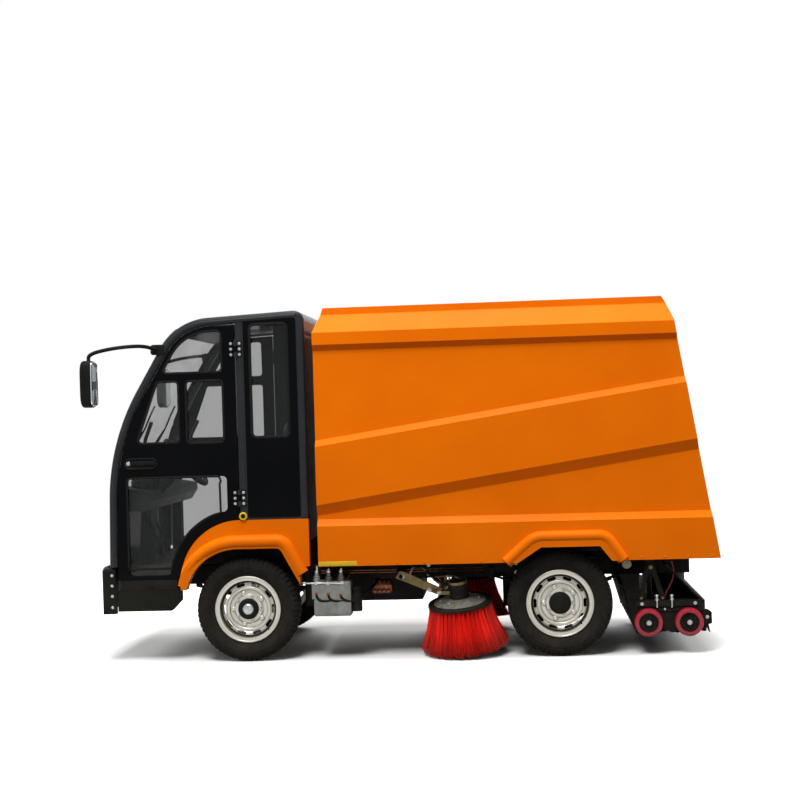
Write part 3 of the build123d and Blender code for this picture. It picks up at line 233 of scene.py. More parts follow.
def spread(route, count, far=None):
    """A route in even steps from knot to knot, or of the distance far along it, back from the front axle."""
    knots = np.linspace(0, 1, len(route)) if far is None else far
    line = np.stack([np.interp(np.linspace(0, 1, count), knots, k) for k in np.transpose(route)], axis=-1)
    return line + (AXLE, 0, 0)


def hose_tube(route, radius):
    """A hose: a circle carried along its smoothed route."""
    far = lengths(route)
    line = eased(spread(route, 48, far / far[-1]))
    line[0], line[-1] = spread(route, 2)
    return tube(line, radius, (0.2, 0.9, 0.1), 12)


def bar(points, radius, ref, count=8):
    """A round bar through points given back from the front axle."""
    return tube(np.asarray(points, float) + (AXLE, 0, 0), radius, ref, count)


def lathe(origin, axis, profile, count, closed=False):
    """A profile of (along, radius) pairs turned about an axis through origin: closed at its two ends, or
    a closed profile turned into a ring."""
    axis = unit(axis)
    first = unit(np.cross((0.31, 0.17, 0.93), axis))
    second = np.cross(axis, first)
    t = np.arange(count) * 2 * np.pi / count
    spoke = np.cos(t)[:, None] * first + np.sin(t)[:, None] * second
    profile = np.asarray(profile, float)
    grid = np.asarray(origin, float) + profile[None, :, :1] * axis + profile[None, :, 1:] * spoke[:, None]
    return patch(grid, wrap_u=True, wrap_v=closed, cap=not closed)


def ring_of(origin, axis, section, count):
    """A closed section of (along, radius) pairs turned into a ring about an axis."""
    return lathe(origin, axis, section, count, closed=True)


def bolt(origin, axis, size):
    """A washer and a hexagon head with a chamfered top, turned on six corners."""
    washer = lathe(origin, axis, [(0, size), (0.22 * size, size), (0.24 * size, 0.6 * size)], 12)
    head = lathe(
        origin, axis, [(0.2 * size, 0.76 * size), (0.7 * size, 0.76 * size), (0.82 * size, 0.62 * size)], 6
    )
    return [washer, head]


def bolts(points, axis, size):
    """Like bolts at a list of points."""
    return [copies(one, points) for one in bolt((0, 0, 0), axis, size)]


def egg(centre, half, power, count, turn=None):
    """A rounded block: a sphere's sines and cosines raised to a power under one square it up
    towards a box of the given half sizes."""
    u = np.arange(count[0]) * 2 * np.pi / count[0]
    v = np.linspace(-np.pi / 2, np.pi / 2, count[1])

    def root(a, p):
        return np.sign(a) * np.abs(a) ** p

    wide, high = root(np.cos(v), power[1]), root(np.sin(v), power[1])
    along, across = root(np.cos(u), power[0])[:, None], root(np.sin(u), power[0])[:, None]
    grid = line_of(half[0] * wide * along, half[1] * wide * across, half[2] * high)[:, 1:-1]
    if turn is not None:
        grid = grid @ np.asarray(turn, float).T
    return patch(grid + np.asarray(centre, float), wrap_u=True, cap=True)


def rounded(points, radius, steps=6):
    """A closed flat outline with each corner replaced by an arc of the given radius."""
    points = np.asarray(points, float)
    before = unit(np.roll(points, 1, axis=0) - points)
    after = unit(np.roll(points, -1, axis=0) - points)
    half = np.arccos(np.clip((before * after).sum(-1), -1, 1)) / 2
    radius = np.broadcast_to(np.asarray(radius, float), len(points))
    centre = points + unit(before + after) * (radius / np.sin(half))[:, None]
    start = points + before * (radius / np.tan(half))[:, None] - centre
    end = points + after * (radius / np.tan(half))[:, None] - centre
    t = np.linspace(0, 1, steps)[None, :, None]
    arc = unit(start[:, None] * (1 - t) + end[:, None] * t) * radius[:, None, None]
    return (centre[:, None] + arc).reshape(-1, 2)


def rect(x0, z0, x1, z1, radius, steps=6):
    """A rectangle between two opposite corners, with its corners rounded."""
    return rounded([(x0, z0), (x1, z0), (x1, z1), (x0, z1)], radius, steps)


def plate(outline, place, levels):
    """A flat outline raised in levels of (inset, height): each level moves the outline inward along its
    own normals, and place turns outline points and heights into space. The last level is closed."""
    outline = np.asarray(outline, float)
    run = unit(np.roll(outline, -1, axis=0) - np.roll(outline, 1, axis=0))
    area = np.sum(outline[:, 0] * np.roll(outline[:, 1], -1) - np.roll(outline[:, 0], -1) * outline[:, 1])
    inward = np.stack([-run[:, 1], run[:, 0]], axis=-1) * np.sign(area)
    rows = [place(outline + inward * inset, height) for inset, height in levels]
    grid = np.stack(rows, axis=1)
    if area < 0:
        grid = grid[::-1]
    return patch(grid, wrap_u=True, cap=True)


def left_side(y):
    """Places a side-view outline (x from the front axle, z) on the left, with heights outward from y."""
    def place(outline, height):
        return line_of(at(outline[:, 0]), -y - height, outline[:, 1])
    return place


def facing_back(x, y, z):
    """Places an outline drawn across and up from a point, with heights rearward."""
    def place(outline, height):
        return line_of(at(x) + height, y + outline[:, 0], z + outline[:, 1])
    return place


def cab_edge(inset):
    """Side outline of the cab from its foot up over the windscreen and back along the roof, as
    (x from the front axle, z): straight runs joined by arcs, moved in along their normals by inset."""
    corner = np.array([(-0.806, 0.430), (-0.788, 1.290), (-0.375, 1.989), (0.378, 2.024)])
    radius = (1.280, 0.352)
    parts = [corner[:1]]
    for i, r in enumerate(radius, start=1):
        before, after = unit(corner[i - 1] - corner[i]), unit(corner[i + 1] - corner[i])
        half = np.arccos((before * after).sum()) / 2
        centre = corner[i] + unit(before + after) * r / np.sin(half)
        start = corner[i] + before * r / np.tan(half) - centre
        end = corner[i] + after * r / np.tan(half) - centre
        t = np.linspace(0, 1, ARC_STEPS)[:, None]
        parts.append(centre + unit(start * (1 - t) + end * t) * r)
    parts.append(corner[-1:])
    line = np.concatenate(parts)
    line = even_run(line, 6 * ARC_STEPS)
    run = unit(np.gradient(line, axis=0))
    return line + np.stack([run[:, 1], -run[:, 0]], axis=-1) * inset


# Finishes

def put(tree, kind, inputs=None, **settings):
    """Adds one node with its settings, each named input set to a value or linked to a socket."""
    node = tree.nodes.new(kind)
    for key, value in settings.items():
        setattr(node, key, value)
    for key, value in (inputs or {}).items():
        if isinstance(value, bpy.types.NodeSocket):
            tree.links.new(value, node.inputs[key])
        else:
            node.inputs[key].default_value = value
    return node


def per_mm(size):
    """Texture scale at which a pattern's features are about this many millimetres across."""
    return 1000.0 / size


def finish(name, **inputs):
    """A new material with one Principled shader, and the Object coordinates for its patterns."""
    material = bpy.data.materials.new(name)
    material.use_nodes = True
    tree = material.node_tree
    tree.nodes.clear()
    shader = put(tree, "ShaderNodeBsdfPrincipled", {k.replace("_", " "): v for k, v in inputs.items()})
    put(tree, "ShaderNodeOutputMaterial", {"Surface": shader.outputs[0]})
    return tree, shader, put(tree, "ShaderNodeTexCoord").outputs["Object"]


def clouds(tree, coords, size, low, high, detail=4.0):
    """Soft noise of a real size in millimetres, spread between two values."""
    noise = put(tree, "ShaderNodeTexNoise", {"Vector": coords, "Scale": per_mm(size), "Detail": detail})
    span = {"Value": noise.outputs["Fac"], "From Min": 0.3, "From Max": 0.7, "To Min": low, "To Max": high}
    return put(tree, "ShaderNodeMapRange", span).outputs[0]


def blend(tree, share, first, second):
    """A mix of two colours, each a hex value or a socket, by a share."""
    values = {0: share}
    for slot, colour in ((6, first), (7, second)):
        values[slot] = linear(colour) if isinstance(colour, str) else colour
    return put(tree, "ShaderNodeMix", values, data_type="RGBA").outputs[2]


def splash(tree, coords, low, high, most):
    """Share of road dirt: most at the height low, none at high, broken up by noise."""
    height = put(tree, "ShaderNodeSeparateXYZ", {"Vector": coords}).outputs["Z"]
    fade = {"Value": height, "From Min": low, "From Max": high, "To Min": most, "To Max": 0.0}
    share = put(tree, "ShaderNodeMapRange", fade).outputs[0]
    broken = clouds(tree, coords, 55, 0.15, 1.0, 8.0)
    return put(tree, "ShaderNodeMath", {0: share, 1: broken}, operation="MULTIPLY").outputs[0]


def ripple(tree, shader, height, strength, depth):
    """Bump of a real depth in millimetres on the shader's normal."""
    bump = put(tree, "ShaderNodeBump", {"Height": height, "Strength": strength, "Distance": depth * MM})
    tree.links.new(bump.outputs[0], shader.inputs["Normal"])


def worn(name, shade, second, dirt, size, rough, grain, splash_to, most, **inputs):
    """A surface finish in two shades of colour, with road dirt fading upward, uneven roughness and a fine
    surface grain of (millimetres across, millimetres deep)."""
    tree, shader, coords = finish(name, **inputs)
    colour = blend(tree, clouds(tree, coords, size, 0.0, 1.0), shade, second)
    if most:
        colour = blend(tree, splash(tree, coords, 0.0, splash_to, most), colour, dirt)
    tree.links.new(colour, shader.inputs["Base Color"])
    tree.links.new(clouds(tree, coords, size * 0.4, rough[0], rough[1], 6.0), shader.inputs["Roughness"])
    ripple(tree, shader, clouds(tree, coords, grain[0], 0.0, 1.0, 2.0), 0.6, grain[1])
    return tree, shader, coords


GLOSS, METAL = "Specular_IOR_Level", "Metallic"
# Worn finishes: name, two shades, dirt, size of the clouds in mm, least and most roughness, grain across and
# deep in mm, height that dirt reaches, most dirt, and the level of gloss or of metal
WORN = (
    # Baked black enamel: deep gloss, faint dust that shows only in the roughness.
    ("black_enamel_baked", "#060709", "#0A0B0D", "#2A251F", 260, (0.08, 0.2), (7, 0.012), 0.8, 0.2, GLOSS, 0.035),
    # Dark grey-blue enamel on drawn tube: satin, a little paler than the panels.
    ("pillar_enamel_satin", "#1E2023", "#27292C", "#3A342B", 180, (0.3, 0.42), (5, 0.02), 0.9, 0.2, GLOSS, 0.14),
    # Moulded ABS with a leather-like spark grain, greyed by sun and splashed from below.
    ("black_abs_moulded", "#10110F", "#1A1B17", "#3E382D", 150, (0.5, 0.66), (2.5, 0.03), 0.6, 0.3, GLOSS, 0.07),
    # Brushed-on chassis paint: satin black under a coat of dry road dust.
    ("chassis_paint_dusty", "#090908", "#131210", "#3C362B", 120, (0.45, 0.75), (4, 0.08), 0.9, 0.35, GLOSS, 0.1),
    # Satin paint on the battery case.
    ("battery_case_paint", "#0E0F10", "#151617", "#3A352B", 140, (0.5, 0.7), (4, 0.05), 0.8, 0.35, GLOSS, 0.1),
    # Silver wheel enamel: metallic flake under lacquer, brown brake dust and road film.
    ("silver_enamel_wheel", "#BDBAB0", "#B4B1A7", "#6A6254", 140, (0.34, 0.38), (30, 0.003), 0.55, 0.22, METAL, 0.6),
    # Vulcanised tyre rubber: dull charcoal, worn brown where it meets the road.
    ("tyre_rubber_worn", "#141311", "#1F1D1A", "#3A342B", 70, (0.72, 0.92), (1.5, 0.05), 0.65, 0.4, GLOSS, 0.12),
    # Extruded EPDM rubber for door and window seals: soft dull black.
    ("seal_rubber_extruded", "#0B0B0B", "#121211", "#2B2822", 90, (0.6, 0.75), (2, 0.04), 0.7, 0.2, GLOSS, 0.12),
    # Rubber sheet with cloth in it, for flaps: dusty and matt.
    ("flap_rubber_sheet", "#0F0E0C", "#191714", "#3E382D", 60, (0.7, 0.9), (3, 0.15), 0.4, 0.4, GLOSS, 0.1),
    # Cast and painted grey machine housing: satin, oily in patches.
    ("machine_grey_cast", "#8A8C88", "#6E706B", "#3B362C", 45, (0.35, 0.6), (3, 0.15), 0.55, 0.6, METAL, 0.2),
    # Yellow-passivated zinc: olive and gold clouds on rolled steel, gone brown at the edges.
    ("yellow_zinc_rolled", "#7C6A38", "#5A5238", "#3A2E20", 28, (0.38, 0.6), (2, 0.05), 0.7, 0.5, METAL, 0.6),
    # Bright zinc on bolts and rods: grey metal with small dull spots.
    ("bright_zinc_plated", "#B4B6B6", "#8D8F8F", "#6A6253", 12, (0.25, 0.5), (1.5, 0.03), 0.5, 0.35, METAL, 0.85),
    # Ground hard chrome on the ram's rod.
    ("hard_chrome_ground", "#C6C9CC", "#B7BABD", "#6A6253", 80, (0.08, 0.16), (1, 0.004), 0.3, 0.1, METAL, 1.0),
    # Painted broom disc, scraped to grey steel by grit.
    ("broom_disc_scraped", "#1A1A1A", "#55544F", "#6B6354", 35, (0.4, 0.7), (3, 0.1), 0.45, 0.5, METAL, 0.3),
    # Cast polyurethane tread: crimson, slightly waxy, scuffed where it rolls.
    ("polyurethane_cast_red", "#B00A2C", "#8C0A24", "#4A2A22", 25, (0.25, 0.45), (4, 0.04), 0.2, 0.5, GLOSS, 0.5),
    # Drawn copper, browned by weather, for pipes, ports and fittings.
    ("copper_pipe_drawn", "#8A5434", "#5E3A26", "#3A2A1E", 22, (0.3, 0.5), (2, 0.03), 0.4, 0.4, METAL, 0.7),
    # Steel down in the wheel's well, dark and dull: a little dust, and mostly painted shade where the well lies in
    # shadow.
    ("wheel_well_dusty", "#2A2824", "#36332D", "#4A4336", 50, (0.6, 0.8), (3, 0.04), 0.6, 0.3, GLOSS, 0.15),
    # Worn broom plate: bare grey-brown steel, scratched by grit.
    ("disc_steel_worn", "#9A978C", "#6F6A5A", "#5A5140", 30, (0.4, 0.62), (3, 0.06), 0.5, 0.35, METAL, 0.45),
    # Turned nylon rollers: cream, greasy near the pin.
    ("nylon_turned_cream", "#CDC3A6", "#B5A888", "#6A5A44", 20, (0.35, 0.5), (2, 0.02), 0.7, 0.3, GLOSS, 0.4),
    # Extruded red PVC on leads.
    ("red_pvc_extruded", "#A81014", "#8A0E10", "#3E2620", 30, (0.35, 0.5), (2, 0.02), 0.5, 0.3, GLOSS, 0.4),
    # Injection-moulded yellow plastic.
    ("yellow_plastic_moulded", "#D8B400", "#C8A200", "#6A5A30", 40, (0.3, 0.45), (2, 0.02), 0.7, 0.3, GLOSS, 0.5),
    # Dash and wheel plastic: charcoal with a fine spark grain.
    ("dash_plastic_grained", "#1B1C1E", "#222326", "#3A362F", 120, (0.5, 0.62), (2.2, 0.03), 0.6, 0.2, GLOSS, 0.35),
)

# Panes and mirrors: name, colour, size of the haze in mm, least and most roughness, and other shader values
CLEAR = (
    # Tinted window glass: a green-grey float pane that lets through most of the light.
    ("window_glass_tinted", "#0E1413", 300, 0.02, 0.07, {"Alpha": 0.25, "IOR": 1.5}),
    # Clear polycarbonate lamp cover with a faint haze.
    ("lamp_polycarbonate", "#DDE3E6", 80, 0.04, 0.12, {"Alpha": 0.28, "IOR": 1.58}),
    # Vacuum-metallised reflector.
    ("reflector_metallised", "#D5D8DA", 30, 0.05, 0.15, {METAL: 1.0}),
    # Silvered mirror glass.
    ("mirror_glass_silvered", "#C9D1D4", 120, 0.02, 0.05, {METAL: 1.0}),
)


def make_finishes(colours):
    """All the finishes of the sweeper, each named for its material and how its surface was made."""
    orange, faded = colours
    # Sprayed enamel on folded sheet: gloss with a faint orange peel, faded patches, dusty at the foot.
    # The peel is about 2 mm across on the real sheet and is drawn at 9 mm to show.
    worn(
        "orange_enamel_sprayed", orange, faded, "#7A5A38", 420, (0.26, 0.38), (9, 0.03), 0.75, 0.25,
        Specular_IOR_Level=0.045,
    )
    for *values, key, level in WORN:
        worn(*values, **{key: level})
    # Ribbed rubber floor mat: mid grey, dusty, with ribs 12 mm apart.
    tree, shader, coords = worn(
        "floor_mat_ribbed", "#3E3E3B", "#4C4B46", "#6A6353", 90, (0.6, 0.8), (4, 0.05), 1.2, 0.5,
        Specular_IOR_Level=0.2,
    )
    ribs = put(tree, "ShaderNodeTexWave", {"Vector": coords, "Scale": per_mm(12) / 20}, bands_direction="Y")
    ripple(tree, shader, ribs.outputs["Fac"], 0.7, 1.0)
    for name, colour, size, low, high, inputs in CLEAR:
        tree, shader, coords = finish(name, Base_Color=linear(colour), **inputs)
        tree.links.new(clouds(tree, coords, size, low, high), shader.inputs["Roughness"])
    # Moulded acrylic lamp lenses: prisms about 8 mm across give bright and dark squares, put into the colour as
    # painted highlight at each prism's middle and painted shade at its edges.
    for name, facet_highlight, facet_shade in (
        ("red_acrylic_lens", "#B01012", "#5E0608"), ("amber_acrylic_lens", "#E07A08", "#8A4204"),
    ):
        tree, shader, coords = finish(name, Roughness=0.12, Coat_Weight=0.4)
        prism = put(
            tree, "ShaderNodeTexVoronoi", {"Vector": coords, "Scale": per_mm(8), "Randomness": 0.0},
            feature="F1", distance="CHEBYCHEV",
        )
        span = {"Value": prism.outputs["Distance"], "From Max": 0.5, "To Min": 0.0, "To Max": 1.0}
        share = put(tree, "ShaderNodeMapRange", span).outputs[0]
        # Painted highlight and shade: each prism's colour runs from the lit shade at its middle to the shaded one at
        # its edges.
        tree.links.new(blend(tree, share, facet_highlight, facet_shade), shader.inputs["Base Color"])
        ripple(tree, shader, share, 0.5, 0.8)
    # Leatherette seat cover: charcoal with pebbled grain; the pebbles are 1.5 mm, drawn at 4 mm to show.
    tree, shader, coords = finish("seat_leatherette", Specular_IOR_Level=0.15, Sheen_Weight=0.1)
    pebble = put(tree, "ShaderNodeTexVoronoi", {"Vector": coords, "Scale": per_mm(4)}).outputs["Distance"]
    tree.links.new(blend(tree, clouds(tree, coords, 90, 0, 1), "#202124", "#2B2C30"), shader.inputs["Base Color"])
    tree.links.new(clouds(tree, coords, 60, 0.42, 0.58), shader.inputs["Roughness"])
    ripple(tree, shader, pebble, 0.25, 0.15)
    # Crimped polypropylene bristle: strong red, each strand its own shade, grey with dirt at the tips.
    tree, shader, coords = finish("bristle_polypropylene_red", Specular_IOR_Level=0.3)
    along = put(tree, "ShaderNodeAttribute", attribute_name="strand").outputs["Vector"]
    part = put(tree, "ShaderNodeSeparateXYZ", {"Vector": along})
    red = blend(tree, part.outputs["Y"], "#FF2A18", "#C8140C")
    tip = {"Value": part.outputs["X"], "From Min": 0.5, "From Max": 1.0, "To Min": 0.0, "To Max": 0.6}
    dirty = put(tree, "ShaderNodeMapRange", tip, interpolation_type="SMOOTHSTEP").outputs[0]
    tree.links.new(blend(tree, dirty, red, "#5A1A14"), shader.inputs["Base Color"])
    tree.links.new(clouds(tree, coords, 20, 0.4, 0.6), shader.inputs["Roughness"])


# CAD nodes whose finish isn't their slot's: the side frames are satin tube, and the floor carries a mat
NODE_FINISH = {
    "cab_side_left": "pillar_enamel_satin",
    "cab_side_right": "pillar_enamel_satin",
    "cab_floor": "floor_mat_ribbed",
}
# The finish of each other CAD node, by the record's material slot
SLOT_FINISH = {
    "orange_paint": "orange_enamel_sprayed",
    "black_gloss_paint": "black_enamel_baked",
    "black_moulding": "black_abs_moulded",
    "chassis_black": "chassis_paint_dusty",
    "battery_case": "battery_case_paint",
    "tinted_glass": "window_glass_tinted",
    "lamp_lens": "lamp_polycarbonate",
    "red_lens": "red_acrylic_lens",
    "tyre_rubber": "tyre_rubber_worn",
    "silver_steel": "silver_enamel_wheel",
    "seat_cover": "seat_leatherette",
    "trim_plastic": "dash_plastic_grained",
    "grey_steel": "machine_grey_cast",
    "hard_chrome": "hard_chrome_ground",
    "zinc_plate": "yellow_zinc_rolled",
    "broom_black": "broom_disc_scraped",
    "red_bristle": "bristle_polypropylene_red",
    "red_urethane": "polyurethane_cast_red",
}


# Running gear

# Road wheels: their axles along X, the middle of the left tyres across, and the radius
WHEEL_PLACES = {"front": at(0.0), "rear": at(1.8)}
WHEEL_Y = 0.5725
TYRE_R = 0.300
# Cuts between tread blocks: slant in blocks, out to a half width in m, and share of the grooves' depth
CUT_SLANT, SLANT_WIDE, CUT_DEPTH = 0.7, 0.05, 0.8
# Half the tyre's section from bead to crown: radius, half width, in a groove round the tread, in a cut block
TYRE_ROWS = np.array([
    (179, 57.5, 0, 0), (185, 61.5, 0, 0), (196, 63.5, 0, 0), (199, 66.5, 0, 0), (205, 67.5, 0, 0), (209, 71, 0, 0),
    (220, 78.5, 0, 0), (234, 84.3, 0, 0), (246, 86.5, 0, 0), (250, 86.8, 0, 0), (251.5, 85.4, 0, 0),
    (258, 84.8, 0, 0), (259.5, 85.8, 0, 0), (268, 83.5, 0, 0), (273, 81.8, 0, 0), (274, 81.3, 0, 1),
    (281, 78.3, 0, 1), (288, 73.8, 0, 1), (293.5, 68.2, 0, 1), (297, 61.5, 0, 1), (298.3, 53.5, 0, 1),
    (298.4, 50.5, 0, 1), (298.4, 50, 1, 0), (298.6, 44, 1, 0), (298.6, 43.5, 0, 1), (299.2, 34, 0, 1),
    (299.6, 24.5, 0, 1), (299.6, 24, 1, 0), (299.7, 18, 1, 0), (299.7, 17.5, 0, 1), (300, 9, 0, 1), (300, 0, 0, 1),
])


def tyre_surface(x, shape):
    """Left tyre turned about its axle. The section runs bead, sidewall, shoulder, crown and back. Grooves run
    round the tread, and slanted cuts part the ribs into blocks: both sink the surface along its normal."""
    half = TYRE_ROWS.copy()
    inner = half.copy()
    inner[:, 1] *= -1
    rows = np.concatenate([inner, half[-2::-1]])
    r, w = rows[:, 0] * MM, rows[:, 1] * MM
    slope = unit(np.stack([np.gradient(r), np.gradient(w)], axis=-1))
    normal = np.stack([slope[:, 1], -slope[:, 0]], axis=-1)
    phase = np.array([0.0, 0.70, 0.72, 0.98])
    cut = np.tile([0.0, 0.0, 1.0, 1.0], shape.tread_blocks)
    turn = (np.arange(shape.tread_blocks)[:, None] + phase).ravel() * 2 * np.pi / shape.tread_blocks
    slant = 2 * np.pi / shape.tread_blocks * CUT_SLANT * np.minimum(np.abs(w), SLANT_WIDE) / SLANT_WIDE
    sink = shape.tread_depth * (rows[:, 2] + rows[:, 3] * cut[:, None] * CUT_DEPTH)
    radius = r - sink * normal[:, 0]
    across = w - sink * normal[:, 1]
    angle = turn[:, None] + slant
    grid = line_of(x + radius * np.cos(angle), -WHEEL_Y - across, TYRE_R + radius * np.sin(angle))
    return patch(grid, wrap_u=True, wrap_v=True)


# Turned profiles of the hub cap and of the centre that shows in it, as (along, radius)
HUBS = {
    "front": (
        [(0.043, 0.061), (0.052, 0.060), (0.058, 0.056), (0.060, 0.050), (0.060, 0.040), (0.056, 0.0345)],
        [(0.0555, 0.0335), (0.061, 0.033), (0.066, 0.029), (0.0695, 0.020), (0.071, 0.010), (0.0712, 0.001)],
    ),
    "rear": (
        [(0.043, 0.063), (0.052, 0.063), (0.054, 0.058), (0.060, 0.056), (0.068, 0.050), (0.071, 0.043),
         (0.070, 0.034), (0.074, 0.031), (0.076, 0.020), (0.077, 0.002)],
        None,
    ),
}


def wheel_fittings(end, x):
    """Fittings turned on the left wheel's axle: a rolled lip, a step and a rounded bead round the disc, the
    dark well between them (a ring of painted shade with a little dust), five stamped bulges and five nuts,
    the hub's cap and a valve stem."""
    hub = np.array([x, -WHEEL_Y, TYRE_R])
    t = np.linspace(0, 2 * np.pi, 14, endpoint=False)

    def rolled(along, high, radius, wide):
        """A ring of oval section."""
        return ring_of(hub, OUT, np.stack([along + high * np.sin(t), radius + wide * np.cos(t)], axis=-1), 72)

    def spots(radius, along, start):
        """Five points round the axle."""
        turn = start + np.arange(5) * 2 * np.pi / 5
        return hub + line_of(radius * np.cos(turn), -along, radius * np.sin(turn))

    # The well's ring is painted shade: darker than the rim, with a little dust in its finish.
    well = ring_of(hub, OUT, [(0.030, 0.1525), (0.030, 0.1655), (0.0347, 0.1655), (0.0398, 0.1525)], 60)
    bulge = egg((0, 0, 0), (0.017, 0.012, 0.017), (1, 1), (20, 12))
    steel = [
        rolled(0.0655, 0.0052, 0.1872, 0.0058), rolled(0.0625, 0.003, 0.1765, 0.004),
        rolled(0.0325, 0.011, 0.1210, 0.0125), copies(bulge, spots(0.092, 0.034, 0.63)),
    ]
    stud = lathe((0, 0, 0), OUT, [(0.006, 0.0055), (0.016, 0.0055), (0.018, 0.0035)], 8)
    places = spots(0.075, 0.0435, 0.0)
    nuts = bolts(places, OUT, 0.0125) + [copies(stud, places)]
    stem = [(0, 0.006), (0.012, 0.005), (0.032, 0.004), (0.034, 0.002)]
    cap, centre = HUBS[end]
    caps = [lathe(hub, OUT, cap, 40), lathe(hub + (0.112, -0.036, -0.112), (0.25, -1, -0.2), stem, 8)]
    return steel, well, nuts, caps, [lathe(hub, OUT, centre, 32)] if centre else []


class SWEEPER_OT_tyres(bpy.types.Operator):
    """Builds the four tyres with ribs, tread blocks and shaped sidewalls"""
    bl_idname = "sweeper.tyres"
    bl_label = "Tyres"

    def execute(self, context):
        for end, x in WHEEL_PLACES.items():
            tyre = tyre_surface(x, context.scene.sweeper_shape)
            pair(
                f"tyre_tread_{end}_*", [tyre], "tyre_rubber_worn", f"wheel_{end}_*",
                replaces=[f"tyre_{end}_*"],
            )
        return {"FINISHED"}


class SWEEPER_OT_wheel_fittings(bpy.types.Operator):
    """Adds the rims' rolled edges, the wheel nuts, hub caps and valve stems"""
    bl_idname = "sweeper.wheel_fittings"
    bl_label = "Wheel fittings"

    def execute(self, context):
        for end, x in WHEEL_PLACES.items():
            body = f"wheel_{end}_*"
            steel, well, nuts, caps, centre = wheel_fittings(end, x)
            pair(f"wheel_steel_{end}_*", steel, "silver_enamel_wheel", body)
            # Painted shade, with a little dust, in the rims' wells.
            pair(f"wheel_well_{end}_*", [well], "wheel_well_dusty", body)
            pair(f"wheel_nuts_{end}_*", nuts, "bright_zinc_plated", body)
            pair(f"hub_cap_{end}_*", caps, "black_abs_moulded", body)
            if centre:
                pair("hub_centre_*", centre, "bright_zinc_plated", body)
        return {"FINISHED"}


# Brooms

# Foot and direction of the left broom's spindle, the height of its bristles, and the tufts round it
BROOM_TIP = np.array([at(1.248), -0.490, 0.050])
BROOM_LEAN = unit([-math.tan(math.radians(5)), -math.tan(math.radians(9)), 1.0])
BROOM_LEN = 0.248
TUFTS = 44
# Farthest that a strand's tip stands from the spindle, clear of the rear tyre with the arm raised
TIP_MOST = 0.254


def broom_space(around, radius, height):
    """Points at an angle round the left broom's axis, a distance from it and a height along it."""
    first = unit(np.cross(ACROSS, BROOM_LEAN))
    second = np.cross(BROOM_LEAN, first)
    spoke = np.cos(around)[..., None] * first + np.sin(around)[..., None] * second
    return BROOM_TIP + radius[..., None] * spoke + height[..., None] * BROOM_LEAN


def bristle_strands(shape):
    """Thin three-sided strands set in tufts round the ring. Each leaves the ring steeply and flares outward
    by the 1.4th power of its length, with its own tip radius, length, shade and sideways lean."""
    rng = np.random.default_rng(7)
    count = shape.strands
    row = rng.integers(0, 3, count)
    around = (rng.integers(0, TUFTS, count) + 0.33 * row + rng.normal(0, 0.11, count)) * 2 * np.pi / TUFTS
    root = 0.150 + 0.012 * row + rng.normal(0, 0.003, count)
    tip = np.minimum(0.208 + 0.020 * row + rng.normal(0, 0.006, count), TIP_MOST)
    stop = rng.beta(1.2, 5.0, count) * 0.045
    lean = rng.normal(0, 0.035, count)
    shade = np.clip(0.35 + 0.25 * np.sin(around * 9) + rng.normal(0, 0.28, count), 0, 1)
    s = np.linspace(0, 1, 6)
    far = s[None] ** 1.4
    radius = root[:, None] + (tip - root)[:, None] * far
    turn = around[:, None] + lean[:, None] * far
    height = BROOM_LEN + 0.004 - (BROOM_LEN + 0.004 - stop)[:, None] * s[None]
    thick = 0.0021 * (1 - 0.45 * s)[None] * rng.uniform(0.8, 1.2, count)[:, None]
    corner = np.array([0.0, 2.094, 4.189])
    grid_r = radius[:, :, None] + thick[:, :, None] * np.cos(corner)
    grid_t = turn[:, :, None] + thick[:, :, None] * np.sin(corner) / radius[:, :, None]
    points = broom_space(grid_t, grid_r, np.broadcast_to(height[:, :, None], grid_r.shape))
    rings, edge = points.shape[1], points.shape[2]
    ids = np.arange(count * rings * edge).reshape(count, rings, edge)
    nxt = np.roll(ids, -1, axis=2)
    quads = np.stack([ids[:, :-1], ids[:, 1:], nxt[:, 1:], nxt[:, :-1]], axis=-1).reshape(-1, 4)
    tris = np.concatenate([ids[:, 0], ids[:, -1, ::-1]])
    strand = line_of(s[None, :, None], shade[:, None, None], 0 * ids)
    return (points.reshape(-1, 3), quads, tris), strand.reshape(-1, 3)


def bristle_core():
    """Dense body of the brush inside the strands: a flared shell, pleated by tufts, with a ragged lower edge."""
    u = np.arange(176) * 2 * np.pi / 176
    s = np.concatenate([np.linspace(0, 1, 7), np.linspace(1, 0, 7)])
    outer = np.concatenate([np.ones(7), np.zeros(7)])
    pleat = 0.0045 * np.cos(TUFTS * u)[:, None] * (0.4 + s[None])
    radius = np.where(outer, 0.166 + 0.066 * s ** 1.4, 0.146 + 0.050 * s ** 1.4)[None] + pleat
    ragged = 0.010 * np.abs(np.sin(22 * u + 1.3 * np.sin(7 * u)))[:, None]
    height = BROOM_LEN - (BROOM_LEN - 0.014 - ragged) * s[None]
    points = broom_space(np.broadcast_to(u[:, None], radius.shape), radius, height)
    shade = np.clip(0.5 + 0.4 * np.cos(TUFTS * u)[:, None] + 0 * s[None], 0, 1)
    strand = line_of(s, shade, 0 * radius)
    one = patch(points[::-1], wrap_u=True, wrap_v=True)
    return one, strand[::-1].reshape(-1, 3)


class SWEEPER_OT_bristles(bpy.types.Operator):
    """Builds the bristles of both brooms, strand by strand round a dense core"""
    bl_idname = "sweeper.bristles"
    bl_label = "Bristles"

    def execute(self, context):
        strands, strand = bristle_strands(context.scene.sweeper_shape)
        core, inner = bristle_core()
        for obj in pair(
            "broom_strands_*", [strands, core], "bristle_polypropylene_red", "broom_*",
            replaces=["broom_bristles_*"],
        ):
            layer = obj.data.attributes.new("strand", "FLOAT_VECTOR", "POINT")
            layer.data.foreach_set("vector", np.concatenate([strand, inner]).astype(np.float32).ravel())
        return {"FINISHED"}


# Cab outside

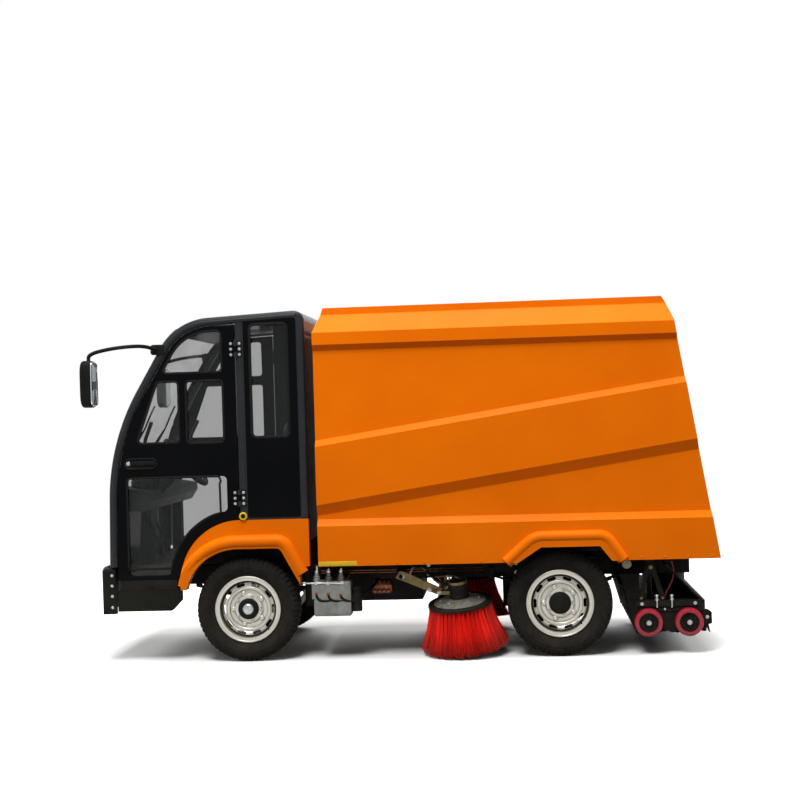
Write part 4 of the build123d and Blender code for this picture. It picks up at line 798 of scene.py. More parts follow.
# Corners of the door's two middle panes, as (x from the front axle, z)
PANES = (
    ((-0.366, 1.278), (-0.366, 1.632), (-0.492, 1.632), (-0.622, 1.278)),
    ((-0.104, 1.272), (-0.104, 1.632), (-0.321, 1.632), (-0.321, 1.272)),
)


def low_pane_outline():
    """Lower door pane: a rectangle whose rear lower corner is cut by an arc round the wheel arch."""
    arch = arc(ARCH_X, ARCH_Z, 0.412, np.radians(np.linspace(174.6, 99.1, 14)))
    corners = rounded([(-0.095, 1.077), (-0.685, 1.077), (-0.685, 0.509)], 0.024)
    return np.concatenate([arch[1:-1], corners])


def top_pane_outline():
    """Upper door pane: the roof's curve drawn in, closed by an upright rear edge and a level lower edge."""
    edge = cab_edge(0.080)
    edge = edge[(edge[:, 1] > 1.690) & (edge[:, 0] < -0.120)]
    rear = [(-0.108, edge[-1, 1] - 0.012), (-0.106, 1.700), (-0.126, 1.681), (-0.440, 1.681)]
    return np.concatenate([edge, rear])


def on_left(outline, y):
    """A side-view outline as points in space on the left at distance y from the middle."""
    outline = np.asarray(outline, float)
    return line_of(at(outline[:, 0]), -y, outline[:, 1])


def bead(wide, high, count):
    """A low rounded moulding's profile: a flat foot and an elliptical crown."""
    t = np.linspace(0, np.pi, count)
    return np.stack([wide * np.cos(t), high * np.sin(t)], axis=-1)


def moulding(line, wide, high, y=CAB_SIDE - 0.001, count=10, closed=False):
    """A low rounded moulding carried along a side-view line on the left."""
    return sweep(on_left(line, y), bead(wide, high, count), OUT, closed=closed)


def box_section(wide, high):
    """A rectangle's corners as a profile, from its half width and half height."""
    return [(-wide, -high), (wide, -high), (wide, high), (-wide, high)]


class SWEEPER_OT_door_trim(bpy.types.Operator):
    """Adds window seals, handles, locks and hinge bolts to the doors"""
    bl_idname = "sweeper.door_trim"
    bl_label = "Door trim"

    def execute(self, context):
        outlines = [rounded(points, 0.022) for points in PANES] + [low_pane_outline(), top_pane_outline()]
        seals = [moulding(line, 0.0065, 0.0035, closed=True) for line in outlines]
        handle = [
            plate(
                rect(-0.502, 1.194, -0.698, 1.128, 0.0325, 10), left_side(CAB_SIDE),
                [(0, 0), (0.001, 0.005), (0.004, 0.0075), (0.008, 0.0065), (0.012, 0.0015)],
            ),
            plate(
                rect(-0.512, 1.177, -0.650, 1.150, 0.013, 8), left_side(CAB_SIDE + 0.002),
                [(0, 0), (0.0005, 0.006), (0.004, 0.011), (0.008, 0.012)],
            ),
        ]
        lock = lathe(
            (at(-0.672), -CAB_SIDE - 0.001, 1.163), OUT,
            [(0, 0.012), (0.006, 0.012), (0.008, 0.010), (0.0075, 0.006), (0.0065, 0.002)], 20,
        )
        heads = bolts([(at(-0.048), -CAB_SIDE - 0.005, z) for z in HINGE_BOLTS], OUT, 0.0085)
        pair("window_seals_*", seals, "seal_rubber_extruded", "door_*")
        pair("door_handle_*", handle, "black_abs_moulded", "door_*")
        pair("door_lock_*", [lock], "bright_zinc_plated", "door_*")
        pair("hinge_bolts_*", heads, "bright_zinc_plated", "door_*")
        return {"FINISHED"}


class SWEEPER_OT_cab_trim(bpy.types.Operator):
    """Adds the pillar mouldings, quarter panels, seals, hinge leaves and fender plugs to the cab's sides"""
    bl_idname = "sweeper.cab_trim"
    bl_label = "Cab trim"

    def execute(self, context):
        edge = cab_edge(0.0295)
        inner = cab_edge(0.0465)
        frame_edges = [
            moulding(edge[(edge[:, 1] > 0.56) & (edge[:, 0] < 0.335)], 0.0115, 0.007),
            moulding([(0.004, 0.83), (0.004, 1.0), (0.004, 1.5), (0.004, 1.985)], 0.013, 0.0055),
            moulding([(0.356, 0.83), (0.356, 1.2), (0.356, 1.6), (0.356, 1.99)], 0.018, 0.008),
        ]
        lips = [
            moulding(inner[(inner[:, 1] > 0.60) & (inner[:, 0] < -0.03)], 0.0035, 0.006, CAB_SIDE - 0.004, 7),
            moulding(rect(0.279, 1.9485, 0.061, 1.2955, 0.026), 0.009, 0.0045, closed=True),
        ]
        # Quarter panel: a sheet from its outer edge to the window's edge, and back behind
        outer, window = rect(0.332, 1.978, 0.024, 0.832, 0.012), rect(0.281, 1.9505, 0.059, 1.2935, 0.027)
        back, face = CAB_SIDE - 0.001, CAB_SIDE + 0.0015
        rows = [on_left(outer, back), on_left(outer, face), on_left(window, face), on_left(window, back)]
        panel = patch(np.stack(rows, axis=1), wrap_u=True, wrap_v=True)
        leaves = [
            plate(
                rect(-0.0125, z - 0.049, 0.017, z + 0.049, 0.005), left_side(CAB_SIDE),
                [(0, 0), (0, 0.0048), (0.0015, 0.006)],
            )
            for z in HINGES
        ]
        heads = bolts([(at(0.002), -CAB_SIDE - 0.005, z) for z in HINGE_BOLTS], OUT, 0.0085)
        plug = (at(-0.004), -CAB_SIDE - 0.001, 0.842)
        cup = lathe(plug, OUT, [(0, 0.024), (0.008, 0.024), (0.012, 0.020), (0.011, 0.014), (0.004, 0.012)], 24)
        core = lathe(plug, OUT, [(0, 0.0125), (0.0085, 0.0125), (0.0095, 0.0105), (0.0095, 0.003)], 20)
        arch = arc(ARCH_X, ARCH_Z, 0.358, np.radians(np.linspace(93, 186, 40)))
        strip = sweep(on_left(arch, 0.6235), box_section(0.026, 0.005), OUT)
        piece("pillar_mouldings", sides(frame_edges), "pillar_enamel_satin", "chassis")
        piece("quarter_panels", sides([panel]), "black_enamel_baked", "chassis")
        piece("hinge_leaves", sides(leaves), "black_abs_moulded", "chassis")
        piece("door_frame_lips", sides(lips), "seal_rubber_extruded", "chassis")
        piece("post_bolts", sides(heads), "bright_zinc_plated", "chassis")
        piece("fender_plugs", sides([cup]), "yellow_plastic_moulded", "chassis")
        piece("fender_plug_cores", sides([core]), "black_abs_moulded", "chassis")
        piece("arch_seals", sides([strip]), "seal_rubber_extruded", "chassis")
        return {"FINISHED"}


class SWEEPER_OT_mirrors(bpy.types.Operator):
    """Builds the mirrors: bracket, bent arm, rounded housing and glass"""
    bl_idname = "sweeper.mirrors"
    bl_label = "Mirrors"

    def execute(self, context):
        route = [
            (-0.480, -0.676, 1.820), (-0.540, -0.800, 1.842), (-0.700, -0.835, 1.830), (-0.836, -0.850, 1.800),
            (-0.836, -0.850, 1.750),
        ]
        arm = tube(eased(spread(route, 40)), 0.011, (0, 0.3, 1), 12)
        bracket = plate(
            rect(-0.440, 1.850, -0.520, 1.790, 0.014), left_side(CAB_SIDE),
            [(0, 0), (0, 0.008), (0.004, 0.012)],
        )
        shell = egg((at(-0.838), -0.855, 1.628), (0.036, 0.074, 0.134), (0.42, 0.42), (40, 24))
        glass = plate(
            rect(-0.066, -0.124, 0.066, 0.124, 0.03), facing_back(-0.806, -0.855, 1.628),
            [(0.0, 0.0), (0.002, 0.0035), (0.006, 0.004)],
        )
        piece(
            "mirror_shells", sides([arm, bracket, shell]), "black_abs_moulded", "chassis",
            replaces=["mirrors"],
        )
        piece("mirror_panes", sides([glass]), "mirror_glass_silvered", "chassis")
        return {"FINISHED"}


# Nozzle wheels

# Distance out and height of the small wheels' hubs
ROLLER_Y, ROLLER_Z = 0.6345, 0.182


class SWEEPER_OT_nozzle_wheels(bpy.types.Operator):
    """Builds the nozzle's small wheels: urethane tread, ribbed hub and axle nut"""
    bl_idname = "sweeper.nozzle_wheels"
    bl_label = "Nozzle wheels"

    def execute(self, context):
        section = [
            (-0.0225, 0.056), (-0.0225, 0.070), (-0.0195, 0.0765), (-0.012, 0.0797), (0.012, 0.0797),
            (0.0195, 0.0765), (0.0225, 0.070), (0.0225, 0.056), (0.015, 0.054), (-0.015, 0.054),
        ]
        web = [
            (-0.020, 0.0545), (0.020, 0.0545), (0.021, 0.050), (0.010, 0.047), (0.008, 0.026), (0.020, 0.023),
            (0.0235, 0.020), (0.0235, 0.0085), (-0.0215, 0.0085), (-0.0215, 0.020), (-0.010, 0.026),
            (-0.010, 0.047),
        ]
        for end, x in (("front", at(2.295)), ("rear", at(2.522))):
            hub = np.array([x, -ROLLER_Y, ROLLER_Z])
            body = f"nozzle_wheel_{end}_*"
            disc = [ring_of(hub, OUT, web, 40)]
            for angle in np.arange(5) * 2 * np.pi / 5:
                spoke = np.outer([0.022, 0.035, 0.049], [math.cos(angle), 0, math.sin(angle)])
                disc.append(sweep(hub + spoke + (0, -0.010, 0), box_section(0.004, 0.006), OUT))
            tread = ring_of(hub, OUT, section, 48)
            nut = bolt(hub + (0, -0.0235, 0), OUT, 0.014)
            pair(
                f"roller_tread_{end}_*", [tread], "polyurethane_cast_red", body,
                replaces=[body],
            )
            pair(f"roller_hub_{end}_*", disc, "chassis_paint_dusty", body)
            pair(f"roller_nut_{end}_*", nut, "bright_zinc_plated", body)
        return {"FINISHED"}


# Cab front

class SWEEPER_OT_headlamps(bpy.types.Operator):
    """Builds the headlamps: bezel, reflector bowls, bulb shields and clear cover"""
    bl_idname = "sweeper.headlamps"
    bl_label = "Headlamps"

    def execute(self, context):
        shape = rect(-0.075, -0.055, 0.075, 0.055, 0.0295, 8)
        lamp_y, lamp_z = -0.430, 0.770

        def facing_front(face):
            def place(outline, height):
                return line_of(at(face) - height, lamp_y - outline[:, 0], lamp_z + outline[:, 1])
            return place

        def both(profile, count):
            """The same turned part behind each half of the cover."""
            return [lathe((at(-0.786), lamp_y + dy, lamp_z), AHEAD, profile, count) for dy in (-0.036, 0.036)]

        bezel = plate(shape, facing_front(-0.772), [
            (0.001, 0.0), (0.0005, 0.040), (0.002, 0.045), (0.007, 0.046), (0.010, 0.043), (0.012, 0.030),
            (0.014, 0.012),
        ])
        bowls = both([
            (0.004, 0.041), (0.0262, 0.040), (0.026, 0.037), (0.020, 0.034), (0.010, 0.024), (0.005, 0.012),
            (0.004, 0.002),
        ], 36)
        shields = both([(0.004, 0.010), (0.012, 0.010), (0.016, 0.007), (0.0175, 0.001)], 20)
        cover = plate(
            shape, facing_front(-0.812), [(0.009, 0.0), (0.0095, 0.003), (0.016, 0.007), (0.030, 0.0095)],
        )
        piece(
            "headlamp_bezels", sides([bezel]), "black_abs_moulded", "chassis",
            replaces=["headlamps"],
        )
        piece("headlamp_bowls", sides(bowls), "reflector_metallised", "chassis")
        piece("headlamp_bulbs", sides(shields), "bright_zinc_plated", "chassis")
        piece("headlamp_covers", sides([cover]), "lamp_polycarbonate", "chassis")
        return {"FINISHED"}


class SWEEPER_OT_front_trim(bpy.types.Operator):
    """Adds the windscreen seal, wipers and bumper bolts"""
    bl_idname = "sweeper.front_trim"
    bl_label = "Front trim"

    def execute(self, context):
        edge = cab_edge(-0.0005)
        half = 0.618
        left = on_left(edge[(edge[:, 1] > 0.985) & (edge[:, 0] < -0.365)], half)
        across = np.linspace(-half, half, 12)[1:-1]
        top = line_of(left[-1, 0], across, left[-1, 2])
        foot = line_of(left[0, 0], across[::-1], left[0, 2])
        loop = np.concatenate([left, top, left[::-1] * (1, -1, 1), foot])
        seal = sweep(loop, ring(0.009, 8), (0.35, 0.0, 0.94), closed=True)
        piece("windscreen_seal", [seal], "seal_rubber_extruded", "chassis")
        glass = cab_edge(0.004)
        glass = glass[(glass[:, 1] > 0.95) & (glass[:, 1] < 1.75)]

        def on_glass(reach, low, high, off, shift=0.0):
            """A line up the glass between two heights, slanting across by reach, and lifted off the pane."""
            z = np.linspace(low, high, 14)
            x = np.interp(z, glass[:, 1], glass[:, 0])
            return line_of(at(x) - off, np.interp(z, [1.0, 1.36], reach) + shift, z)

        arms, blades = [], []
        rise = 0.030 * np.sin(np.linspace(0.25, 1.0, 14) * np.pi) + 0.004
        cap = [(0, 0.020), (0.018, 0.018), (0.026, 0.012), (0.028, 0.002)]
        lip = [(-0.004, -0.004), (0.004, -0.004), (0.001, 0.006), (-0.001, 0.006)]
        for reach in ((-0.42, -0.10), (0.10, 0.42)):
            arm = on_glass(reach, 1.0, 1.36, rise)
            root = on_glass(reach, 1.0, 1.36, -0.004)[0]
            blade = on_glass(reach, 1.18, 1.50, 0.004, np.linspace(-0.03, 0.03, 14))
            arms.append(tube(arm, 0.0055, ACROSS, 8, scale=np.linspace(1.3, 0.8, 14)))
            arms.append(lathe(root, (-1, 0, 0.05), cap, 20))
            blades.append(sweep(blade, lip, (-1, 0, 0.3)))
        piece("wipers", arms + blades, "black_abs_moulded", "chassis")
        beside = [(at(-0.790), -0.668, z) for z in (0.33, 0.395, 0.455, 0.515)]
        ahead = [(at(-0.8724), y, z) for z in (0.33, 0.50) for y in (-0.45, -0.15)]
        heads = bolts(beside, OUT, 0.009) + bolts(ahead, AHEAD, 0.009)
        piece("bumper_bolts", sides(heads), "bright_zinc_plated", "chassis")
        return {"FINISHED"}


# Cab inside

# Distance of each seat's middle, and of the steering column, from the vehicle's
SEAT_Y = 0.320
# Padding: remesh size in m, steps and pressure of the cloth, and the farthest that a point moves in m
PAD_VOXEL, PAD_STEPS, PAD_PRESSURE, PAD_MOST = 0.010, 12, 4.0, 0.016
# Sewn channels as shares of the pad's half length, with their half width and depth in m
CHANNELS, CHANNEL_WIDE, CHANNEL_DEEP = (-0.55, -0.15, 0.25, 0.65), 0.007, 0.010


def points_of(mesh):
    """A mesh's vertices as rows."""
    found = np.empty(len(mesh.vertices) * 3)
    mesh.vertices.foreach_get("co", found)
    return found.reshape(-1, 3)


def pad_block(name, centre, half, turn):
    """One upholstered block, swollen by a short cloth simulation: the block is remeshed, blown up a little
    by pressure with no gravity, and each point's move is limited."""
    verts, quads, tris = egg(centre, half, (0.32, 0.32), (48, 28), turn)
    mesh = bpy.data.meshes.new(name)
    mesh.from_pydata(verts.tolist(), [], quads.tolist() + tris.tolist())
    obj = bpy.data.objects.new(name, mesh)
    bpy.context.scene.collection.objects.link(obj)
    remesh = obj.modifiers.new("remesh", "REMESH")
    remesh.mode = "VOXEL"
    remesh.voxel_size = PAD_VOXEL
    bake_modifiers(obj)
    points = points_of(obj.data)
    cloth = obj.modifiers.new("cloth", "CLOTH")
    cloth.settings.use_pressure = True
    cloth.settings.uniform_pressure_force = PAD_PRESSURE
    cloth.settings.effector_weights.gravity = 0.0
    for step in range(1, PAD_STEPS + 1):
        bpy.context.scene.frame_set(step)
    bake_modifiers(obj)
    bpy.context.scene.frame_set(1)
    move = points_of(obj.data) - points
    size = np.linalg.norm(move, axis=1, keepdims=True)
    points = points + move * np.minimum(1.0, PAD_MOST / np.maximum(size, 1e-9))
    faces = [list(p.vertices) for p in obj.data.polygons]
    bpy.data.objects.remove(obj)
    return points, faces


def bake_modifiers(obj):
    """Keeps the object's shape as its modifiers leave it."""
    graph = bpy.context.evaluated_depsgraph_get()
    graph.update()
    result = bpy.data.meshes.new_from_object(obj.evaluated_get(graph))
    obj.modifiers.clear()
    obj.data = result


class SWEEPER_OT_seats(bpy.types.Operator):
    """Builds the two seats: swollen cushions and backs with sewn channels, on moulded frames"""
    bl_idname = "sweeper.seats"
    bl_label = "Seats"

    def execute(self, context):
        lean = math.atan2(0.100, 0.560)
        back_turn = np.array([
            [math.cos(lean), 0, math.sin(lean)], [0, 1, 0], [-math.sin(lean), 0, math.cos(lean)],
        ])
        # Centre, half size, turn, the axis that the channels are spaced on, the face's axis and its sign
        blocks = {
            "cushion": ((at(0.045), -SEAT_Y, 0.815), (0.170, 0.215, 0.062), np.eye(3), 0, 2, 1),
            "back": ((at(0.232), -SEAT_Y, 1.130), (0.046, 0.212, 0.270), back_turn, 2, 0, -1),
        }
        for name, (centre, half, turn, run, face, sign) in blocks.items():
            points, faces = pad_block(name, centre, half, turn)
            # Sewn channels: each a narrow dip across the pad's face, deepest at its seam
            local = (points - centre) @ turn
            dip = sum(np.exp(-((local[:, run] - half[run] * share) / CHANNEL_WIDE) ** 2) for share in CHANNELS)
            faced = (sign * local[:, face] > 0.01) * (np.abs(local[:, 1]) < half[1] * 0.8)
            points = points - (CHANNEL_DEEP * dip * faced)[:, None] * sign * turn[:, face]
            for side in ("left", "right"):
                mesh = bpy.data.meshes.new(f"seat_{name}_{side}")
                where = points if side == "left" else points * (1, -1, 1)
                mesh.from_pydata(where.tolist(), [], faces if side == "left" else [f[::-1] for f in faces])
                mesh.polygons.foreach_set("use_smooth", np.full(len(mesh.polygons), True))
                mesh.materials.append(bpy.data.materials["seat_leatherette"])
                obj = bpy.data.objects.new(f"seat_{name}_{side}", mesh)
                context.scene.collection.objects.link(obj)
                smooth = obj.modifiers.new("smooth", "SUBSURF")
                smooth.levels = smooth.render_levels = 1
                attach(obj, "chassis")
                if side == "left" and name == "cushion":
                    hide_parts("seats")
        base = plate(rect(-0.105, 0.7155, 0.235, 0.752, 0.012), left_side(0.135), [(0, 0), (0, 0.370)])
        frame_back = plate(
            rounded([(0.225, 0.80), (0.262, 0.80), (0.335, 1.385), (0.300, 1.390)], 0.012), left_side(0.150),
            [(0.004, 0), (0, 0.008), (0, 0.332), (0.004, 0.340)],
        )
        piece("seat_frames", sides([base, frame_back]), "dash_plastic_grained", "chassis")
        return {"FINISHED"}


class SWEEPER_OT_cab_inside(bpy.types.Operator):
    """Adds the instrument hood, dial, pedals, column shroud, levers and grab handle"""
    bl_idname = "sweeper.cab_inside"
    bl_label = "Cab inside"

    def execute(self, context):
        hood = egg((at(-0.655), -SEAT_Y, 1.035), (0.075, 0.150, 0.038), (0.45, 0.45), (36, 18))
        shroud = lathe(
            (at(-0.640), -SEAT_Y, 0.965), (0.225, 0, 0.193),
            [(0.0, 0.052), (0.02, 0.056), (0.16, 0.044), (0.19, 0.030)], 28,
        )
        screen = plate(
            rect(-0.075, -0.028, 0.075, 0.028, 0.01), facing_back(-0.578, -SEAT_Y, 1.030),
            [(0, 0), (0.002, 0.006)],
        )
        pedals = []
        for y in (-0.245, -0.395):
            pedals.append(egg((at(-0.560), y, 0.640), (0.012, 0.035, 0.045), (0.4, 0.4), (24, 14)))
            pedals.append(bar([(-0.562, y, 0.63), (-0.60, y, 0.72), (-0.66, y, 0.86)], 0.009, ACROSS))
        reach = ((-0.470, 0.03, 1.105), (-0.480, 0.10, 1.115), (-0.485, 0.165, 1.125))
        stalks = [bar([(x, s * y - SEAT_Y, z) for x, y, z in reach], 0.007, UP) for s in (-1, 1)]
        brake = [
            bar([(-0.04, 0.0, 0.716), (-0.09, 0.0, 0.80), (-0.16, 0.0, 0.885)], 0.011, ACROSS, 10),
            bar([(-0.13, 0.0, 0.850), (-0.19, 0.0, 0.920)], 0.017, ACROSS, 12),
        ]
        rail = bar(
            [(-0.600, -0.606, 1.02), (-0.615, -0.585, 1.10), (-0.590, -0.585, 1.30), (-0.545, -0.606, 1.40)],
            0.011, BACK, 10,
        )
        piece("instrument_hood", [hood, shroud] + stalks, "dash_plastic_grained", "chassis")
        piece("instrument_screen", [screen], "black_enamel_baked", "chassis")
        piece("pedals_and_levers", pedals + brake, "black_abs_moulded", "chassis")
        piece("grab_rails", sides([rail]), "pillar_enamel_satin", "chassis")
        return {"FINISHED"}


# Hopper

# How far the slanted rear edge comes forward for each metre up, and how far the rear's face lies inside it
REAR_SLOPE, REAR_INSET = 0.1613, 0.012


def rear_x(z):
    """The hopper's slanted rear edge at a height, measured from the front axle."""
    return 2.700 - (z - 0.546) * REAR_SLOPE


def on_rear(y, z):
    """Places an outline drawn across and up from a point on the slanted rear, with heights rearward."""
    def place(outline, height):
        up = z + outline[:, 1]
        return line_of(at(rear_x(up)) - REAR_INSET + height, y + outline[:, 0], up)
    return place


class SWEEPER_OT_hopper_trim(bpy.types.Operator):
    """Adds tail lamps, plain edge strip, stop rollers and sheet rivets to the hopper"""
    bl_idname = "sweeper.hopper_trim"
    bl_label = "Hopper trim"

    def execute(self, context):
        lamp = on_rear(-0.540, 0.615)
        lens = rect(-0.058, -0.033, 0.058, 0.033, 0.008)
        raised = [(0.002, 0.002), (0.002, 0.0095), (0.005, 0.0115)]
        bezel = plate(
            rect(-0.064, -0.039, 0.064, 0.039, 0.011), lamp,
            [(0, 0), (0.001, 0.008), (0.003, 0.0095), (0.0055, 0.0095), (0.0065, 0.004)],
        )
        red = plate(lens * (0.55, 1) - (-0.025, 0), lamp, raised)
        amber = plate(lens * (0.42, 1) - (0.0325, 0), lamp, raised)
        piece("tail_lamp_bezels", sides([bezel]), "black_abs_moulded", "hopper")
        piece("tail_lamp_red", sides([red]), "red_acrylic_lens", "hopper", replaces=["tail_lamps"])
        piece("tail_lamp_amber", sides([amber]), "amber_acrylic_lens", "hopper")
        strip = plate(
            rect(0.431, 0.548, 0.652, 0.574, 0.003, 3), left_side(HOPPER_SIDE),
            [(0, 0), (0, 0.0008), (0.001, 0.0012)],
        )
        piece("edge_strip", [strip], "yellow_plastic_moulded", "hopper")
        boss = lathe(
            (at(2.179), -0.640, 0.520), OUT,
            [(0.0, 0.026), (0.040, 0.026), (0.045, 0.022), (0.045, 0.012), (0.050, 0.010), (0.051, 0.002)], 28,
        )
        arm = plate(
            rounded([(2.160, 0.515), (2.198, 0.515), (2.215, 0.60), (2.143, 0.60)], 0.008), left_side(0.630),
            [(0, 0), (0, 0.012)],
        )
        piece("stop_rollers", sides([boss, arm]), "nylon_turned_cream", "hopper")
        x = np.concatenate([np.arange(0.72, 1.40, 0.16), np.arange(2.26, 2.66, 0.13)])
        rivet = lathe((0, 0, 0), OUT, [(0, 0.0055), (0.0012, 0.0052), (0.0026, 0.0035), (0.003, 0.0008)], 10)
        rivets = copies(rivet, line_of(at(x), -HOPPER_SIDE, 0.560))
        piece("sheet_rivets", sides([rivets]), "orange_enamel_sprayed", "hopper")
        return {"FINISHED"}


class SWEEPER_OT_tailgate_fittings(bpy.types.Operator):
    """Adds the seal round the tailgate and its latches"""
    bl_idname = "sweeper.tailgate_fittings"
    bl_label = "Tailgate fittings"

    def execute(self, context):
        half, top = 0.630, 0.575
        line = rounded(
            [(-half, 0.708), (half, 0.708), (half, 1.856), (top, 1.932), (-top, 1.932), (-half, 1.856)], 0.01, 4,
        )
        seal = sweep(on_rear(0.0, 0.0)(line, -0.003), ring(0.006, 8), (1, 0, 0.16), closed=True)
        piece("tailgate_seal", [seal], "seal_rubber_extruded", "tailgate")
        latches = []
        for y in (-0.47, 0.47):
            place = on_rear(y, 0.775)
            base, tongue = rect(-0.045, -0.055, 0.045, 0.055, 0.010), rect(-0.012, -0.050, 0.012, 0.030, 0.006)
            latches.append(plate(base, place, [(0, -0.001), (0, 0.004), (0.002, 0.006)]))
            latches.append(plate(tongue, place, [(0, 0.004), (0, 0.009), (0.003, 0.0105)]))
        piece("tailgate_latches", latches, "bright_zinc_plated", "tailgate")
        return {"FINISHED"}


# Working gear

class SWEEPER_OT_valve_box(bpy.types.Operator):
    """Builds the valve box: folded tank, valve bodies with boots and levers, link rod, ports and hoses"""
    bl_idname = "sweeper.valve_box"
    bl_label = "Valve box"

    def execute(self, context):
        tank = plate(
            rect(0.389, 0.253, 0.605, 0.454, 0.010), left_side(0.561),
            [(0.004, 0.0), (0, 0.004), (0, 0.086), (0.002, 0.090), (0.006, 0.092)],
        )
        panel = plate(
            rect(0.412, 0.268, 0.590, 0.340, 0.008), left_side(0.652),
            [(0, 0), (0.001, 0.0018), (0.004, 0.002)],
        )
        hanger = plate(rect(0.440, 0.4305, 0.560, 0.4515, 0.004), left_side(0.300), [(0, 0), (0, 0.262)])
        filler = lathe((at(0.633), -0.6075, 0.276), UP, [
            (0, 0.030), (0.012, 0.0315), (0.10, 0.0315), (0.104, 0.026), (0.118, 0.026), (0.122, 0.031),
            (0.140, 0.031), (0.144, 0.026),
        ], 28)
        piece(
            "valve_tank", [tank, panel, hanger], "machine_grey_cast", "chassis",
            replaces=["valve_box"],
        )
        piece("valve_filter", [filler], "chassis_paint_dusty", "chassis")
        boot = [
            (0, 0.021), (0.010, 0.021), (0.014, 0.017), (0.024, 0.019), (0.028, 0.013), (0.040, 0.013),
            (0.046, 0.007),
        ]
        collar = [(0, 0.010), (0.006, 0.012), (0.014, 0.011), (0.018, 0.006)]
        bodies, rods, ports, hoses = [], [], [], []
        for i, (x, top) in enumerate(((0.405, 0.541), (0.474, 0.528), (0.546, 0.528))):
            bodies.append(plate(
                rect(x - 0.026, 0.352, x + 0.026, 0.449, 0.006), left_side(0.6528),
                [(0, -0.002), (0.0005, 0.0012), (0.003, 0.002)],
            ))
            bodies.append(lathe((at(x), -0.618, 0.454), UP, boot, 20))
            lever = [(x, -0.618, 0.495), (x + 0.002, -0.622, 0.515), (x + 0.004, -0.630, top)]
            rods.append(bar(lever, 0.0058, ACROSS, 10))
            rods.append(lathe((at(x), -0.618, 0.500), UP, collar, 16))
            port = (at(x), -0.6528, 0.385 - 0.006 * i)
            ports.append(lathe(port, (0, -1, -0.2), [(-0.002, 0.012), (0.0025, 0.012), (0.003, 0.009)], 16))
            route = [
                (x, -0.652, 0.383 - 0.006 * i), (x + 0.002, -0.6555, 0.362), (x + 0.018, -0.655, 0.345),
                (x + 0.045, -0.650, 0.338), (0.622, -0.640, 0.352 - 0.008 * i), (0.680, -0.560, 0.372),
                (0.720, -0.420, 0.395), (0.730, -0.303, 0.43),
            ]
            hoses.append(tube(eased(spread(route, 56)), 0.0075, (0.2, 0.3, 1), 10))
        link = [(0.330, -0.654, 0.446), (0.45, -0.654, 0.4445), (0.566, -0.654, 0.441)]
        rods.append(bar(link, 0.0048, ACROSS, 10))
        for x in (0.405, 0.474, 0.556):
            rods.append(lathe((at(x), -0.651, 0.4435), OUT, [(0, 0.009), (0.006, 0.009), (0.008, 0.006)], 14))
        piece("valve_bodies", bodies, "machine_grey_cast", "chassis")
        piece("valve_levers", rods, "bright_zinc_plated", "chassis")
        piece("valve_ports", ports, "copper_pipe_drawn", "chassis")
        piece("valve_hoses", hoses, "seal_rubber_extruded", "chassis")
        block = [egg((at(0.750), -0.262, 0.360), (0.062, 0.022, 0.030), (0.3, 0.3), (28, 14))]
        upper = [(0, 0.013), (0.016, 0.013), (0.018, 0.010), (0.026, 0.010), (0.028, 0.004)]
        lower = [(0, 0.014), (0.014, 0.014), (0.016, 0.011), (0.026, 0.011), (0.028, 0.004)]
        for x in (0.708, 0.735, 0.762, 0.789):
            block.append(lathe((at(x), -0.276, 0.385), (0, -0.35, 1), upper, 6))
            block.append(lathe((at(x), -0.280, 0.350), (0, -1, -0.3), lower, 6))
        piece("port_block", block, "copper_pipe_drawn", "chassis")
        return {"FINISHED"}


def along_broom(height, out=0.0, turn=0.0):
    """A point at a height on the left broom's axis, moved out from it at an angle."""
    return broom_space(np.array(turn), np.array(out), np.array(height))


